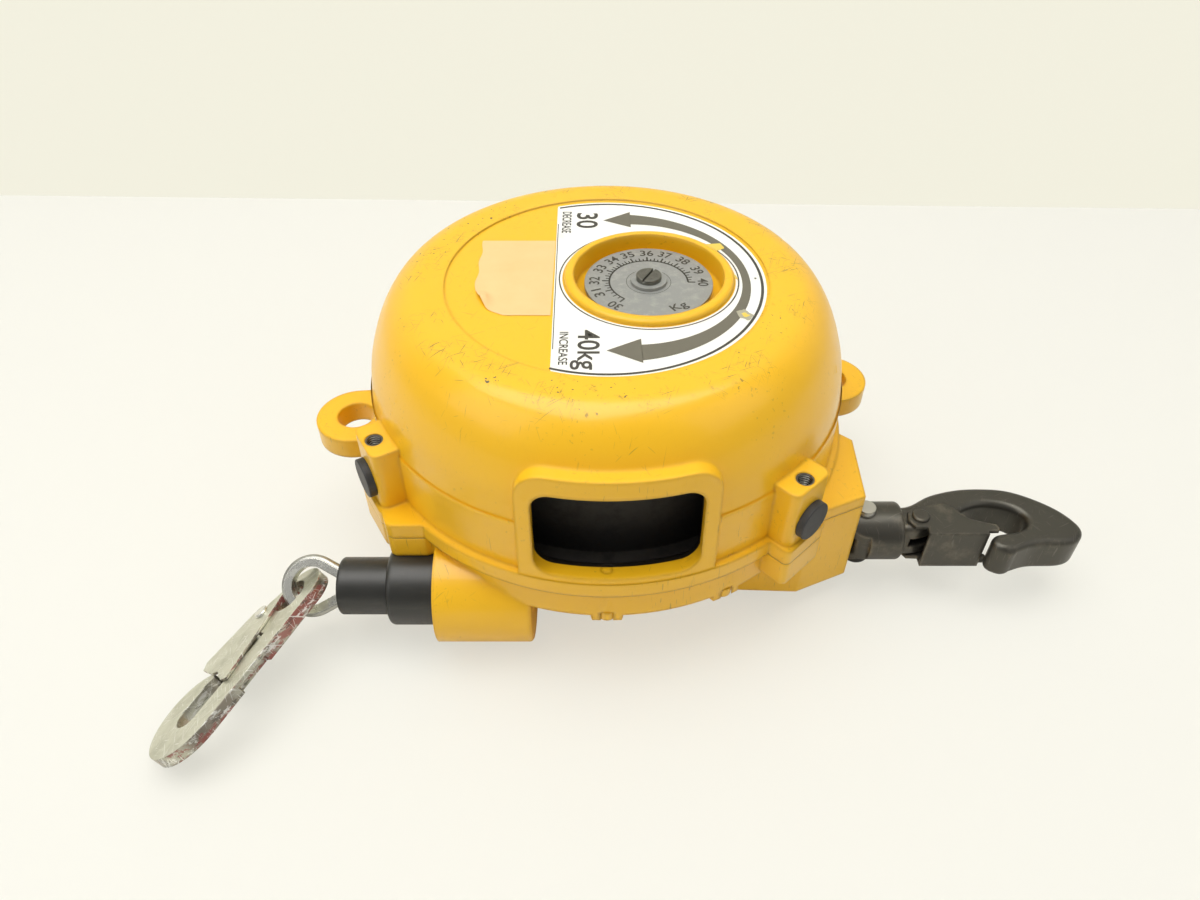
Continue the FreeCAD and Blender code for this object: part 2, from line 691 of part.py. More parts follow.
def drum():
    small = size("drum_small_radius")
    large = size("drum_large_radius")
    blank = turned([(0, DRUM_LOW), (small, DRUM_LOW), (small, size("cone_start")), (large, size("cone_end")),
                    (large + 5, size("cone_end") + 2), (large + 5, size("cone_end") + 5),
                    (large, size("cone_end") + 7), (large, DRUM_RIM), (0, DRUM_RIM)])
    chamber = drum_axis(CHAMBER, CHAMBER_FLOOR, DRUM_RIM)
    under = drum_axis(74, DRUM_LOW, DRUM_LOW + 11).cut(drum_axis(28, DRUM_LOW, DRUM_LOW + 11))
    bearing = drum_axis(size("bearing_radius"), HUB_LOW, HUB_LOW + size("bearing_width"))
    bore = drum_axis(size("bearing_radius") - 3, DRUM_LOW, CHAMBER_FLOOR)
    tools = [chamber, under, bearing, bore] + rope_grooves() + cover_screw_shapes(2, DRUM_RIM - 10, DRUM_RIM)
    return blank.cut(tools)


def rope_grooves():
    grooves = []
    for k in range(int(size("rope_turns"))):
        height = ROPE_Z + k * size("groove_pitch")
        grooves.append(Part.makeTorus(turn_radius(k), size("rope_radius") + 0.02, Vector(0, 0, height)))
    return grooves


def cover_screw_shapes(radius, bottom, top):
    spots = [polar(CHAMBER + 6, 45 + 60 * k) for k in range(6)]
    return [drum_axis(radius, bottom, top, p.x, p.y) for p in spots]


def spring_cover():
    top = size("drum_front")
    plate = drum_axis(size("drum_large_radius"), DRUM_RIM, top)
    hub = drum_axis(27, COVER_HUB_LOW, top)
    bearing = drum_axis(size("bearing_radius"), top - size("bearing_width"), top)
    bore = drum_axis(size("bearing_radius") - 3, DRUM_RIM - 20, top)
    return plate.fuse(hub).cut([bearing, bore] + cover_screw_shapes(2, DRUM_RIM - 1, top))


def cover_screws():
    top = size("drum_front")
    heads = cover_screw_shapes(3.5, top, top + 2.4)
    shanks = cover_screw_shapes(2, DRUM_RIM - 8, top)
    return Part.makeCompound([a.fuse(b) for a, b in zip(heads, shanks)])


BEARING_STARTS = [HUB_LOW, size("drum_front") - size("bearing_width")]


def bearing_rings(inner, outer):
    """Race pair of a ball bearing: two rings with the ball groove in the middle."""
    rings = []
    for start in BEARING_STARTS:
        end = start + size("bearing_width")
        ring = drum_axis(outer, start, end).cut(drum_axis(inner, start, end))
        track = Part.makeTorus(15.5, 3.5 + FIT, Vector(0, 0, (start + end) / 2))
        rings.append(ring.cut(track))
    return Part.makeCompound(rings)


def bearing_balls():
    balls = []
    for start in BEARING_STARTS:
        middle = start + size("bearing_width") / 2
        balls += [Part.makeSphere(3.5, polar(15.5, 40 * k) + Vector(0, 0, middle)) for k in range(9)]
    return Part.makeCompound(balls)


def spring_arcs(offset):
    """One side of the mainspring strip: half turns about two centres, the last on the drum wall."""
    inner = size("arbor_core_radius") + 0.9
    halves = 2 * int(size("spring_turns"))
    step = (CHAMBER - 1.0 - inner) / halves
    arcs = []
    for k in range(halves + 1):
        centre = Vector(step * (k % 2), 0, 0)
        radius = inner + step * k + offset
        side = 1 if k % 2 == 0 else -1
        ends = [centre + Vector(side * radius, 0, 0), centre - Vector(side * radius, 0, 0)]
        arcs.append(Part.Arc(ends[0], centre + Vector(0, side * radius, 0), ends[1]).toShape())
    return arcs


def mainspring():
    half = size("spring_strip") / 2
    inside = spring_arcs(-half)
    outside = spring_arcs(half)
    first = Part.LineSegment(inside[0].Vertexes[0].Point, outside[0].Vertexes[0].Point).toShape()
    last = Part.LineSegment(inside[-1].Vertexes[1].Point, outside[-1].Vertexes[1].Point).toShape()
    face = Part.Face(Part.Wire(Part.__sortEdges__(inside + outside + [first, last])))
    face.translate(Vector(0, 0, CHAMBER_FLOOR + 2))
    end = COVER_HUB_LOW - size("spring_end_gap")
    return face.extrude(Vector(0, 0, end - CHAMBER_FLOOR - 2))


feature("drum", drum())
feature("spring_cover", spring_cover())
feature("cover_screws", cover_screws())
feature("bearing_outer_rings", bearing_rings(18.2, size("bearing_radius")))
feature("bearing_inner_rings", bearing_rings(size("arbor_radius"), 12.8))
feature("bearing_balls", bearing_balls())
feature("mainspring", mainspring())


# ---------------------------------------------------------------- rope
def rope_turns():
    """Rope wound on the cone: closed turns in their grooves, the first one open at the lead."""
    rings = []
    for k in range(1, int(size("rope_turns"))):
        height = ROPE_Z + k * size("groove_pitch")
        rings.append(Part.makeTorus(turn_radius(k), size("rope_radius"), Vector(0, 0, height)))
    arc = Part.makeCircle(size("rope_offset"), Vector(0, 0, ROPE_Z), Vector(0, 0, 1), -90, 240)
    rings.append(pipe(Part.Wire([arc]), size("rope_radius")))
    return Part.makeCompound(rings)


feature("rope_turns", rope_turns())


def rope_lead():
    return along_x(size("rope_radius"), FERRULE_START, 0, ROPE_Y, ROPE_Z)


def ferrule():
    sleeve = along_x(size("ferrule_radius"), FERRULE_END, FERRULE_START, ROPE_Y, ROPE_Z)
    rims = [e for e in sleeve.Edges if e.Length < 2.2 * math.pi * size("ferrule_radius") and len(e.Vertexes) == 1]
    return sleeve.makeFillet(1, rims)


def bumper():
    """Rubber stop: stepped outside, bored for the rope and hollowed for its ferrule."""
    big = along_x(size("bumper_radius"), -size("bumper_step"), -size("bumper_seat") - GAP, ROPE_Y, ROPE_Z)
    big = big.makeFillet(2.5, [e for e in big.Edges if abs(e.CenterOfMass.x + size("bumper_step")) < 0.01])
    small = along_x(size("bumper_small_radius"), -size("bumper_end"), -size("bumper_step") + 2, ROPE_Y, ROPE_Z)
    small = small.makeFillet(1.5, [e for e in small.Edges if abs(e.CenterOfMass.x + size("bumper_end")) < 0.01])
    bore = along_x(size("rope_radius") + FIT, FERRULE_START - 1, 0, ROPE_Y, ROPE_Z)
    pocket = along_x(size("ferrule_radius") + FIT, -size("bumper_end"), FERRULE_START, ROPE_Y, ROPE_Z)
    flare = Part.makeCone(size("ferrule_radius"), size("ferrule_radius") + 3.5, 8.01,
                          Vector(-size("bumper_end") + 8, ROPE_Y, ROPE_Z), Vector(-1, 0, 0))
    return big.fuse(small).cut([bore, pocket, flare])


def eye_wire(radius, lead):
    """Teardrop line of the rope eye in its own plane: two legs and the arc between them."""
    start_x = FERRULE_END - EYE_X
    start_y = size("rope_radius") + 0.2
    reach = math.hypot(start_x, start_y)
    lean = math.atan2(start_y, start_x) + math.acos(size("eye_radius") / reach)
    upper = Vector(radius * math.cos(lean), radius * math.sin(lean), 0)
    lower = Vector(upper.x, -upper.y, 0)
    away = Vector(math.sin(lean), -math.cos(lean), 0) * lead
    first = Part.LineSegment(upper + away, upper).toShape()
    arc = Part.Arc(upper, Vector(-radius, 0, 0), lower).toShape()
    last = Part.LineSegment(lower, lower + Vector(away.x, -away.y, 0)).toShape()
    return Part.Wire([first, arc, last])


def in_eye_plane(shape):
    shape.rotate(Vector(), Vector(1, 0, 0), size("eye_tilt"))
    shape.translate(Vector(EYE_X, ROPE_Y, ROPE_Z))
    return shape


def rope_eye():
    reach = math.hypot(FERRULE_END - EYE_X, size("rope_radius") + 0.2)
    leg = math.sqrt(reach ** 2 - size("eye_radius") ** 2) - 1.5
    return in_eye_plane(pipe(eye_wire(size("eye_radius"), leg), size("rope_radius")))


def thimble():
    """Channel of sheet that lines the rope eye."""
    wire = eye_wire(size("eye_radius"), 9)
    start = wire.Edges[0]
    origin = start.valueAt(start.FirstParameter)
    along = start.tangentAt(start.FirstParameter)
    inward = Vector(-origin.x, -origin.y, 0)
    inward = (inward - along * inward.dot(along)).normalize()
    rim = size("rope_radius") + 0.05
    sheet_t = 0.9
    rows = [(-0.6, rim), (-0.6, rim + sheet_t), (rim + sheet_t, rim + sheet_t), (rim + sheet_t, -rim - sheet_t),
            (-0.6, -rim - sheet_t), (-0.6, -rim), (rim, -rim), (rim, rim)]
    corners = [origin + inward * a + Vector(0, 0, b) for a, b in rows]
    section = Part.makePolygon(corners + corners[:1])
    return in_eye_plane(wire.makePipeShell([section], True, False, 2))


EYE_X = -size("bumper_end") - size("eye_reach")
FERRULE_START = -103.5
FERRULE_END = -120

feature("rope_lead", rope_lead())
feature("ferrule", ferrule())
feature("bumper", bumper())
feature("rope_eye", rope_eye())
feature("thimble", thimble())


# ---------------------------------------------------------------- load hook
LOAD_TIP = Vector(-0.498, -0.845, -0.197)
LOAD_FACE = Vector(-0.576, 0.152, 0.803)
LOAD_ORIGIN = Vector(-152.25, -94.67, 28.1)


def hook_frame(shape):
    """Carry a shape drawn flat (X to the tip, Y to the spine) to the hanging load hook."""
    tip = LOAD_TIP.normalize()
    spine = LOAD_FACE.cross(tip).normalize()
    face = tip.cross(spine)
    matrix = FreeCAD.Matrix(tip.x, spine.x, face.x, LOAD_ORIGIN.x,
                            tip.y, spine.y, face.y, LOAD_ORIGIN.y,
                            tip.z, spine.z, face.z, LOAD_ORIGIN.z, 0, 0, 0, 1)
    placed = shape.copy()
    placed.Placement = Placement(matrix).multiply(placed.Placement)
    return placed


def load_hook():
    half = size("load_hook_thickness") / 2
    eye = drum_axis(14.5, -half, half, -4, 6.5)
    bowl = drum_axis(22, -half, half, 65, 1)
    spine = prism([(-4, 0), (-4, 21), (30, 22), (65, 23), (65, 10), (20, 8)], -half, half)
    land = prism([(-12, -4), (4, -12), (12, -14), (19, -9), (20, 9), (0, 12)], -half, half)
    solid = eye.fuse([bowl, spine, land]).removeSplitter()
    oval = drum_axis(7.5, -9, 9, 52, 1).fuse([drum_axis(7.5, -9, 9, 64, 1), block(52, 64, -6.5, 8.5, -9, 9)])
    throat = prism([(20, 8.5), (20, -9), (24, -40), (44, -40), (42.5, -12), (46, -4.5), (52, -6.5),
                    (52, 8.5)], -9, 9)
    solid = solid.cut([oval, throat, drum_axis(9, -9, 9, -1.5, 3.2)])
    scallop = prism([(27, 30), (29, 18.5), (45, 19), (47, 30)], -9, 0.6)
    rivet = drum_axis(2.05, -9, 9, RIVET_X, RIVET_Y)
    spring_slot = block(6.5, 15.2, -16, -3.9, -2.4, 2.4)
    return solid.cut([scallop, rivet, spring_slot])


def load_latch():
    half = size("load_hook_thickness") / 2 + 0.15
    sheet_t = 1.4
    plan = [(5, 0.5), (8, -12.5), (12, -15.5), (41.5, -21.5), (45.5, -18), (45.5, -6), (43.5, -2), (46.5, 8),
            (45, 11.5)]
    outer = prism(plan, -half - sheet_t, half + sheet_t)
    inner = prism([(-20, 40), (-20, -10), (8, -10.8), (12, -13.9), (41, -20), (47, -20), (60, 40)], -half, half)
    behind = prism([(-20, 40), (-20, -30), (19.5, -30), (19.5, 40)], -half, half)
    nose = prism([(41.2, -30), (60, -30), (60, 40), (41.2, 40)], -half, half)
    rivet = drum_axis(2.05, -9, 9, RIVET_X, RIVET_Y)
    return outer.cut([inner, behind, nose, rivet])


def latch_rivet(radius, head, span):
    """Headed pin through both cheeks of a latch, drawn about its own axis."""
    shank = drum_axis(radius, -span / 2, span / 2)
    caps = []
    for side in (-1, 1):
        cap = Part.makeCylinder(head, 1.3, Vector(0, 0, side * span / 2), Vector(0, 0, side))
        rim = [e for e in cap.Edges if abs(abs(e.CenterOfMass.z) - span / 2 - 1.3) < 0.01]
        caps.append(cap.makeFillet(0.9, rim))
    return shank.fuse(caps)


def load_latch_rivet():
    span = size("load_hook_thickness") + 2 * (0.15 + 1.4)
    rivet = latch_rivet(2, 3.7, span)
    rivet.translate(Vector(RIVET_X, RIVET_Y, 0))
    return hook_frame(rivet)


def coil(radius, wire, turns, pitch):
    """Small spring about Z, centred on the origin, with each turn as a closed ring."""
    middle = (turns - 1) / 2
    return Part.makeCompound([Part.makeTorus(radius, wire, Vector(0, 0, pitch * (k - middle)))
                              for k in range(turns)])


def load_latch_spring():
    spring = coil(3.0, 0.35, 4, 0.9)
    spring.translate(Vector(RIVET_X, RIVET_Y, 0))
    return hook_frame(spring)


RIVET_X = 10.7
RIVET_Y = -7.9

feature("load_hook", hook_frame(load_hook()))
feature("load_latch", hook_frame(load_latch()))
feature("load_latch_rivet", load_latch_rivet())
feature("load_latch_spring", load_latch_spring())


# ---------------------------------------------------------------- hanger and suspension hook
HANG_END = size("hanger_end")
HOOK_LOW = HANG_Z - size("hook_thickness") / 2
HOOK_TOP = HANG_Z + size("hook_thickness") / 2
LATCH_X = 157
LATCH_Y = -55.5
SWIVEL_START = HANG_END - 8.9
SWIVEL_END = HANG_END - 4.9
SLOT_HALF = size("link_thickness") / 2 + 0.4
POCKET_HALF = size("link_radius") + 3.8


def hanger():
    """Swivel block: round bar with a slotted, rounded end that turns on the link's pin."""
    reach = size("hanger_round") + 3
    bar = along_x(size("hanger_radius"), PIN_X - reach, HANG_END, HANG_Y, HANG_Z)
    bar = bar.makeFillet(2, [e for e in bar.Edges if abs(e.CenterOfMass.x - HANG_END) < 0.01])
    keep_in = drum_axis(size("hanger_round"), 0, PART, PIN_X, HANG_Y)
    keep_in = keep_in.fuse(block(PIN_X + 1.5, HANG_END + 1, HANG_Y - 20, HANG_Y + 20, 0, PART))
    slot = block(PIN_X - 20, SWIVEL_START + 0.01, HANG_Y - POCKET_HALF, HANG_Y + POCKET_HALF,
                 HANG_Z - SLOT_HALF, HANG_Z + SLOT_HALF)
    chamber = along_x(9 + GAP, SWIVEL_START, SWIVEL_END + FIT, HANG_Y, HANG_Z)
    shank = along_x(size("shank_radius") + GAP, SWIVEL_START, HANG_END + 1, HANG_Y, HANG_Z)
    pin = drum_axis(size("hanger_pin_radius"), 0, PART, PIN_X, HANG_Y)
    return bar.common(keep_in).cut([slot, chamber, shank, pin])


def hanger_pin():
    seat = HANG_Z - size("hanger_radius") - 0.2
    shank = drum_axis(size("hanger_pin_radius"), seat, HANG_Z + size("hanger_radius") + 2.6, PIN_X, HANG_Y)
    head = drum_axis(7, seat - 3.8, seat, PIN_X, HANG_Y)
    head = head.makeFillet(2.6, [e for e in head.Edges if abs(e.CenterOfMass.z - seat + 3.8) < 0.01])
    groove = Part.makeTorus(size("hanger_pin_radius") + 0.3, 0.8,
                            Vector(PIN_X, HANG_Y, HANG_Z + size("hanger_radius") + 1.3))
    return shank.fuse(head).cut(groove)


def hanger_link():
    half = size("link_thickness") / 2
    low = HANG_Z - half
    high = HANG_Z + half
    pin_x = size("cross_pin_x")
    radius = size("link_radius")
    bar = block(pin_x, PIN_X, HANG_Y - radius, HANG_Y + radius, low, high)
    ends = [drum_axis(radius, low, high, x, HANG_Y) for x in (pin_x, PIN_X)]
    bores = [drum_axis(size("cross_pin_radius"), 0, PART, pin_x, HANG_Y),
             drum_axis(size("hanger_pin_radius") + FIT, 0, PART, PIN_X, HANG_Y)]
    return fused(bar, *ends).cut(bores)


def top_hook():
    """Forged hook: closed spline outline with rounded rims, shank and swivel tail."""
    rise = [(HANG_END + 0.3, -46), (155, -44.5), (163, -39.5), (173, -35.5), (184, -33.2), (195, -32.8),
            (206, -34), (219, -40), (228, -47), (234.3, -55.5), (236, -62.5), (232, -68.4), (221, -71),
            (208, -71.8), (200, -74.6), (192.5, -75), (188.8, -70.8), (191, -66), (198, -63.8), (206, -61.6),
            (210.8, -56), (208.5, -49.8), (202, -46), (193, -44.6), (184, -46.8), (175, -52.3), (166, -58),
            (158, -61.8), (HANG_END + 0.3, -62)]
    points = [Vector(x, y, HOOK_LOW) for x, y in rise]
    curve = Part.BSplineCurve()
    curve.interpolate(points)
    closing = Part.LineSegment(points[-1], points[0]).toShape()
    solid = Part.Face(Part.Wire([curve.toShape(), closing])).extrude(Vector(0, 0, size("hook_thickness")))
    rims = [e for e in solid.Edges if e.Length > 60]
    solid = solid.makeFillet(3.2, rims)
    nub = drum_axis(6.2, HOOK_LOW + 0.2, HOOK_TOP - 1, 196, -70)
    nub = nub.makeFillet(3, [e for e in nub.Edges if abs(e.CenterOfMass.z - HANG_Z) > 5])
    shank = along_x(size("shank_radius"), SWIVEL_START + 0.4, HANG_END + 3, HANG_Y, HANG_Z)
    rivet = drum_axis(2.55, 0, PART, LATCH_X, LATCH_Y)
    slot = block(LATCH_X - 5, LATCH_X + 8, -66, LATCH_Y + 5, HANG_Z - 3, HANG_Z + 3)
    return solid.fuse([shank, nub]).cut([rivet, slot])


def swivel_head():
    collar = along_x(9, SWIVEL_START + 0.4, SWIVEL_END, HANG_Y, HANG_Z)
    return collar.cut(along_x(size("shank_radius"), 100, HANG_END, HANG_Y, HANG_Z))


def top_latch():
    sheet_t = 1.7
    low = HOOK_LOW - GAP
    high = HOOK_TOP + GAP
    plan = [(150.3, -58), (151.2, -52.5), (154.8, -49.2), (159.5, -49.2), (166, -47.6), (171.5, -46),
            (174.5, -47.8), (177.5, -53.5), (181, -57), (187, -59.3), (193, -61), (193.6, -63.3),
            (193, -65.2), (187.8, -65.4), (187.8, -67.5), (158.6, -67.5), (158.6, -62.8), (153, -62.5)]
    outer = prism(plan, low - sheet_t, high + sheet_t)
    inner = block(100, 230, sheet_t - 67.5, 0, low, high)
    rivet = drum_axis(2.55, 0, PART, LATCH_X, LATCH_Y)
    return outer.cut([inner, rivet])


def top_latch_rivet():
    rivet = latch_rivet(2.5, 4.4, size("hook_thickness") + 2 * GAP + 3.4)
    rivet.translate(Vector(LATCH_X, LATCH_Y, HANG_Z))
    return rivet


def top_latch_spring():
    spring = coil(3.0, 0.35, 4, 0.9)
    spring.translate(Vector(LATCH_X, LATCH_Y, HANG_Z))
    return spring


feature("hanger", hanger())
feature("hanger_pin", hanger_pin())
feature("hanger_link", hanger_link())
cross = cylinder("cross_pin", "dims.cross_pin_radius * 1 mm", "dims.cross_pin_length * 1 mm", "dims.cross_pin_x * 1 mm",
                 "-dims.hanger_offset * 1 mm", "(dims.bracket_bottom + 0.5) * 1 mm")
keep(cross, "cross_pin")
feature("top_hook", top_hook())
feature("swivel_head", swivel_head())
feature("top_latch", top_latch())
feature("top_latch_rivet", top_latch_rivet())
feature("top_latch_spring", top_latch_spring())


# ---------------------------------------------------------------- checks and export
doc.recompute()
for obj in doc.Objects:
    if "Invalid" in obj.State or "Error" in obj.State:
        raise RuntimeError("failed object: " + obj.Label)
os.makedirs("parts", exist_ok=True)
for obj in parts:
    if obj.Shape.isNull() or not obj.Shape.isValid():
        raise RuntimeError("invalid shape: " + obj.Label)
for obj in parts:
    obj.Shape.exportStep("parts/%s.step" % obj.Label)
    print("%-18s solids %2d volume %10.1f" % (obj.Label, len(obj.Shape.Solids), obj.Shape.Volume))
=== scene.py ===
import math
import random

import bmesh
import bpy
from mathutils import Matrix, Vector


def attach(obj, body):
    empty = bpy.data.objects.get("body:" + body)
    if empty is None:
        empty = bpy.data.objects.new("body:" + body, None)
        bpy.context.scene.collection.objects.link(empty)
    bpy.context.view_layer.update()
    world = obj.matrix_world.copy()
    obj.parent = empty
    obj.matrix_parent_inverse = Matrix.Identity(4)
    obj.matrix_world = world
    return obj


# Looks of the spring balancer. Metres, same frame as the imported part.
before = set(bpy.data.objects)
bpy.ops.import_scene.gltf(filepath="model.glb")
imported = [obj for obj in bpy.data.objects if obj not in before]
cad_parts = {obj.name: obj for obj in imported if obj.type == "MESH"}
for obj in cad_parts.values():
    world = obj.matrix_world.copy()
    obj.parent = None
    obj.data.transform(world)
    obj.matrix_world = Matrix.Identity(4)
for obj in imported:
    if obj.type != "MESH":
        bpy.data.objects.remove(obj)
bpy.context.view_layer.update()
MM = 0.001
PARTING = 0.064                  # plane where the casings meet
WALL_TOP = 0.0872                # where the straight wall ends and the shoulder begins
SHOULDER_RISE = 0.0628
SHOULDER_RUN = 0.0295
CAVITY_FLAT = 0.0830             # just inside the flat face's radius
THREAD_PITCH = 0.00125
HOOK_FACE = Vector((-0.576, 0.152, 0.803)).normalized()
HOOK_BOWL = (-0.1811, -0.1437, 0.0167)
HOOK_TURN = -1.038               # turns the load hook's length onto X, in radians
random.seed(7)


# ---------------------------------------------------------------- mesh helpers
def piece(name, verts, faces, mat, body, slot, smooth=False):
    """New mesh in row coordinates, given in millimetres, that rides on a CAD body."""
    mesh = bpy.data.meshes.new(name)
    mesh.from_pydata([Vector(v) * MM for v in verts], [], faces)
    mesh.update()
    for polygon in mesh.polygons:
        polygon.use_smooth = smooth
    obj = bpy.data.objects.new(name, mesh)
    bpy.context.scene.collection.objects.link(obj)
    obj.data.materials.append(mat)
    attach(obj, body)
    return obj


def arc(cx, cy, radius, start, end, count):
    """Points on a circle between two angles in degrees."""
    points = []
    for k in range(count + 1):
        a = math.radians(start + (end - start) * k / count)
        points.append((cx + radius * math.cos(a), cy + radius * math.sin(a)))
    return points


def strip(lower, upper, z):
    """Quads between two point rows of equal length, at height z."""
    count = len(lower)
    verts = [(x, y, z) for x, y in lower] + [(x, y, z) for x, y in upper]
    faces = [(k, k + 1, count + k + 1, count + k) for k in range(count - 1)]
    return verts, faces


def merge(parts):
    verts, faces = [], []
    for v, f in parts:
        base = len(verts)
        verts += v
        faces += [tuple(i + base for i in face) for face in f]
    return verts, faces


def upward(obj):
    """Turn the faces of a flat print to look up."""
    mesh = bmesh.new()
    mesh.from_mesh(obj.data)
    for face in mesh.faces:
        if face.normal.z < 0:
            face.normal_flip()
    mesh.to_mesh(obj.data)
    mesh.free()
    return obj


def lettering(name, words, size, place, turn, z, mat, owner, bold=0.0):
    """Printed text as a flat mesh, fitted to its length and height, centred on a place.

    size is (length, height), turn is the reading direction in degrees, owner is (body, slot); the slot is not
    used.
    """
    curve = bpy.data.curves.new(name + "_curve", "FONT")
    curve.body = words
    curve.size = 10
    curve.offset = bold
    curve.resolution_u = 4
    text = bpy.data.objects.new(name + "_text", curve)
    bpy.context.scene.collection.objects.link(text)
    bpy.context.view_layer.update()
    graph = bpy.context.evaluated_depsgraph_get()
    flat = bpy.data.meshes.new_from_object(text.evaluated_get(graph))
    left, right = min(v.co.x for v in flat.vertices), max(v.co.x for v in flat.vertices)
    low, high = min(v.co.y for v in flat.vertices), max(v.co.y for v in flat.vertices)
    a = math.radians(turn)
    verts = []
    for v in flat.vertices:
        px = ((v.co.x - left) / (right - left) - 0.5) * size[0]
        py = ((v.co.y - low) / (high - low) - 0.5) * size[1]
        verts.append((place[0] + px * math.cos(a) - py * math.sin(a),
                      place[1] + px * math.sin(a) + py * math.cos(a), z))
    faces = [tuple(p.vertices) for p in flat.polygons]
    bpy.data.objects.remove(text)
    bpy.data.curves.remove(curve)
    bpy.data.meshes.remove(flat)
    return upward(piece(name, verts, faces, mat, *owner))


# ---------------------------------------------------------------- shader helpers
class Shader:
    """Small wrapper that builds one Principled material from nodes."""

    def __init__(self, name, color, metallic=0.0, roughness=0.5):
        self.mat = bpy.data.materials.new(name)
        self.mat.use_nodes = True
        self.tree = self.mat.node_tree
        self.bsdf = self.tree.nodes["Principled BSDF"]
        self.bsdf.inputs["Base Color"].default_value = (*color, 1)
        self.bsdf.inputs["Metallic"].default_value = metallic
        self.bsdf.inputs["Roughness"].default_value = roughness
        self.mat.diffuse_color = (*color, 1)

    def node(self, kind, **inputs):
        made = self.tree.nodes.new(kind)
        for key, value in inputs.items():
            self.feed(made.inputs[key.replace("_", " ")], value)
        return made

    def feed(self, socket, value):
        if isinstance(value, bpy.types.NodeSocket):
            self.tree.links.new(value, socket)
        else:
            socket.default_value = value

    def point(self, scale=(1, 1, 1), turn=(0, 0, 0)):
        """Object-space place, turned first and then stretched."""
        where = self.node("ShaderNodeTexCoord").outputs["Object"]
        turned = self.node("ShaderNodeMapping", Vector=where, Rotation=turn).outputs["Vector"]
        return self.node("ShaderNodeMapping", Vector=turned, Scale=scale).outputs["Vector"]

    def noise(self, scale, detail=4.0, stretch=(1, 1, 1), turn=(0, 0, 0), rough=0.5):
        made = self.node("ShaderNodeTexNoise", Vector=self.point(stretch, turn), Scale=scale, Detail=detail,
                         Roughness=rough)
        return made.outputs["Fac"]

    def math(self, operation, a, b=0.0, clamp=False):
        made = self.tree.nodes.new("ShaderNodeMath")
        made.operation = operation
        made.use_clamp = clamp
        self.feed(made.inputs[0], a)
        self.feed(made.inputs[1], b)
        return made.outputs[0]

    def step(self, value, low, high):
        """0 below low, 1 above high, smooth between."""
        made = self.tree.nodes.new("ShaderNodeMapRange")
        made.interpolation_type = "SMOOTHSTEP"
        self.feed(made.inputs["Value"], value)
        made.inputs["From Min"].default_value = low
        made.inputs["From Max"].default_value = high
        return made.outputs["Result"]

    def mix(self, factor, a, b):
        made = self.tree.nodes.new("ShaderNodeMix")
        made.data_type = "RGBA"
        self.feed(made.inputs["Factor"], factor)
        self.feed(made.inputs["A"], a if isinstance(a, bpy.types.NodeSocket) else (*a, 1))
        self.feed(made.inputs["B"], b if isinstance(b, bpy.types.NodeSocket) else (*b, 1))
        return made.outputs["Result"]

    def part(self, axis):
        """One coordinate of the object-space place, in metres."""
        where = self.node("ShaderNodeTexCoord").outputs["Object"]
        return self.node("ShaderNodeSeparateXYZ", Vector=where).outputs[axis]

    def rounded(self, radius, bump=None, strength=0.2, distance=0.0005):
        """Soft edges by a bevelled normal, with an optional bump on top."""
        normal = self.node("ShaderNodeBevel", Radius=radius).outputs["Normal"]
        if bump is not None:
            made = self.node("ShaderNodeBump", Strength=strength, Distance=distance, Height=bump,
                             Normal=normal)
            normal = made.outputs["Normal"]
        self.feed(self.bsdf.inputs["Normal"], normal)

    def edges(self, radius, low, high):
        """Mask that is 1 on worn outside edges."""
        soft = self.node("ShaderNodeBevel", Radius=radius).outputs["Normal"]
        hard = self.node("ShaderNodeNewGeometry").outputs["Normal"]
        made = self.tree.nodes.new("ShaderNodeVectorMath")
        made.operation = "DOT_PRODUCT"
        self.feed(made.inputs[0], soft)
        self.feed(made.inputs[1], hard)
        return self.step(self.math("SUBTRACT", 1.0, made.outputs["Value"]), low, high)


def between(s, value, low, high, soft):
    """1 inside a band of values, 0 outside it."""
    return s.math("MULTIPLY", s.step(value, low - soft, low + soft),
                  s.math("SUBTRACT", 1.0, s.step(value, high - soft, high + soft)))


def radius_from_axis(s):
    x, y = s.part("X"), s.part("Y")
    return s.math("SQRT", s.math("ADD", s.math("MULTIPLY", x, x), s.math("MULTIPLY", y, y)))


def scratch_lines(s, rarity):
    """Fine short scratches in several directions."""
    total = None
    for turn, scale in ((0.3, 90), (1.1, 70), (1.9, 110), (2.7, 80)):
        fine = s.noise(scale, 1, stretch=(26, 1, 1), turn=(0, 0, turn))
        here = s.step(fine, rarity, rarity + 0.02)
        total = here if total is None else s.math("MAXIMUM", total, here)
    return total


def casing_inside_shade(s, radius, height):
    """Mask of the walls inside the case that face the drum, where near-black painted shade goes."""
    rise = s.math("MAXIMUM", s.math("SUBTRACT", height, WALL_TOP), 0.0)
    share = s.math("DIVIDE", rise, SHOULDER_RISE)
    share = s.math("SQRT", s.math("MAXIMUM", s.math("SUBTRACT", 1.0, s.math("MULTIPLY", share, share)), 0.0))
    outside = s.math("ADD", s.math("MULTIPLY", share, SHOULDER_RUN), CAVITY_FLAT)
    inner = s.step(s.math("SUBTRACT", outside, radius), 0.0, 0.0004)
    return s.math("MULTIPLY", inner, between(s, height, 0.056, 0.1405, 0.0003))


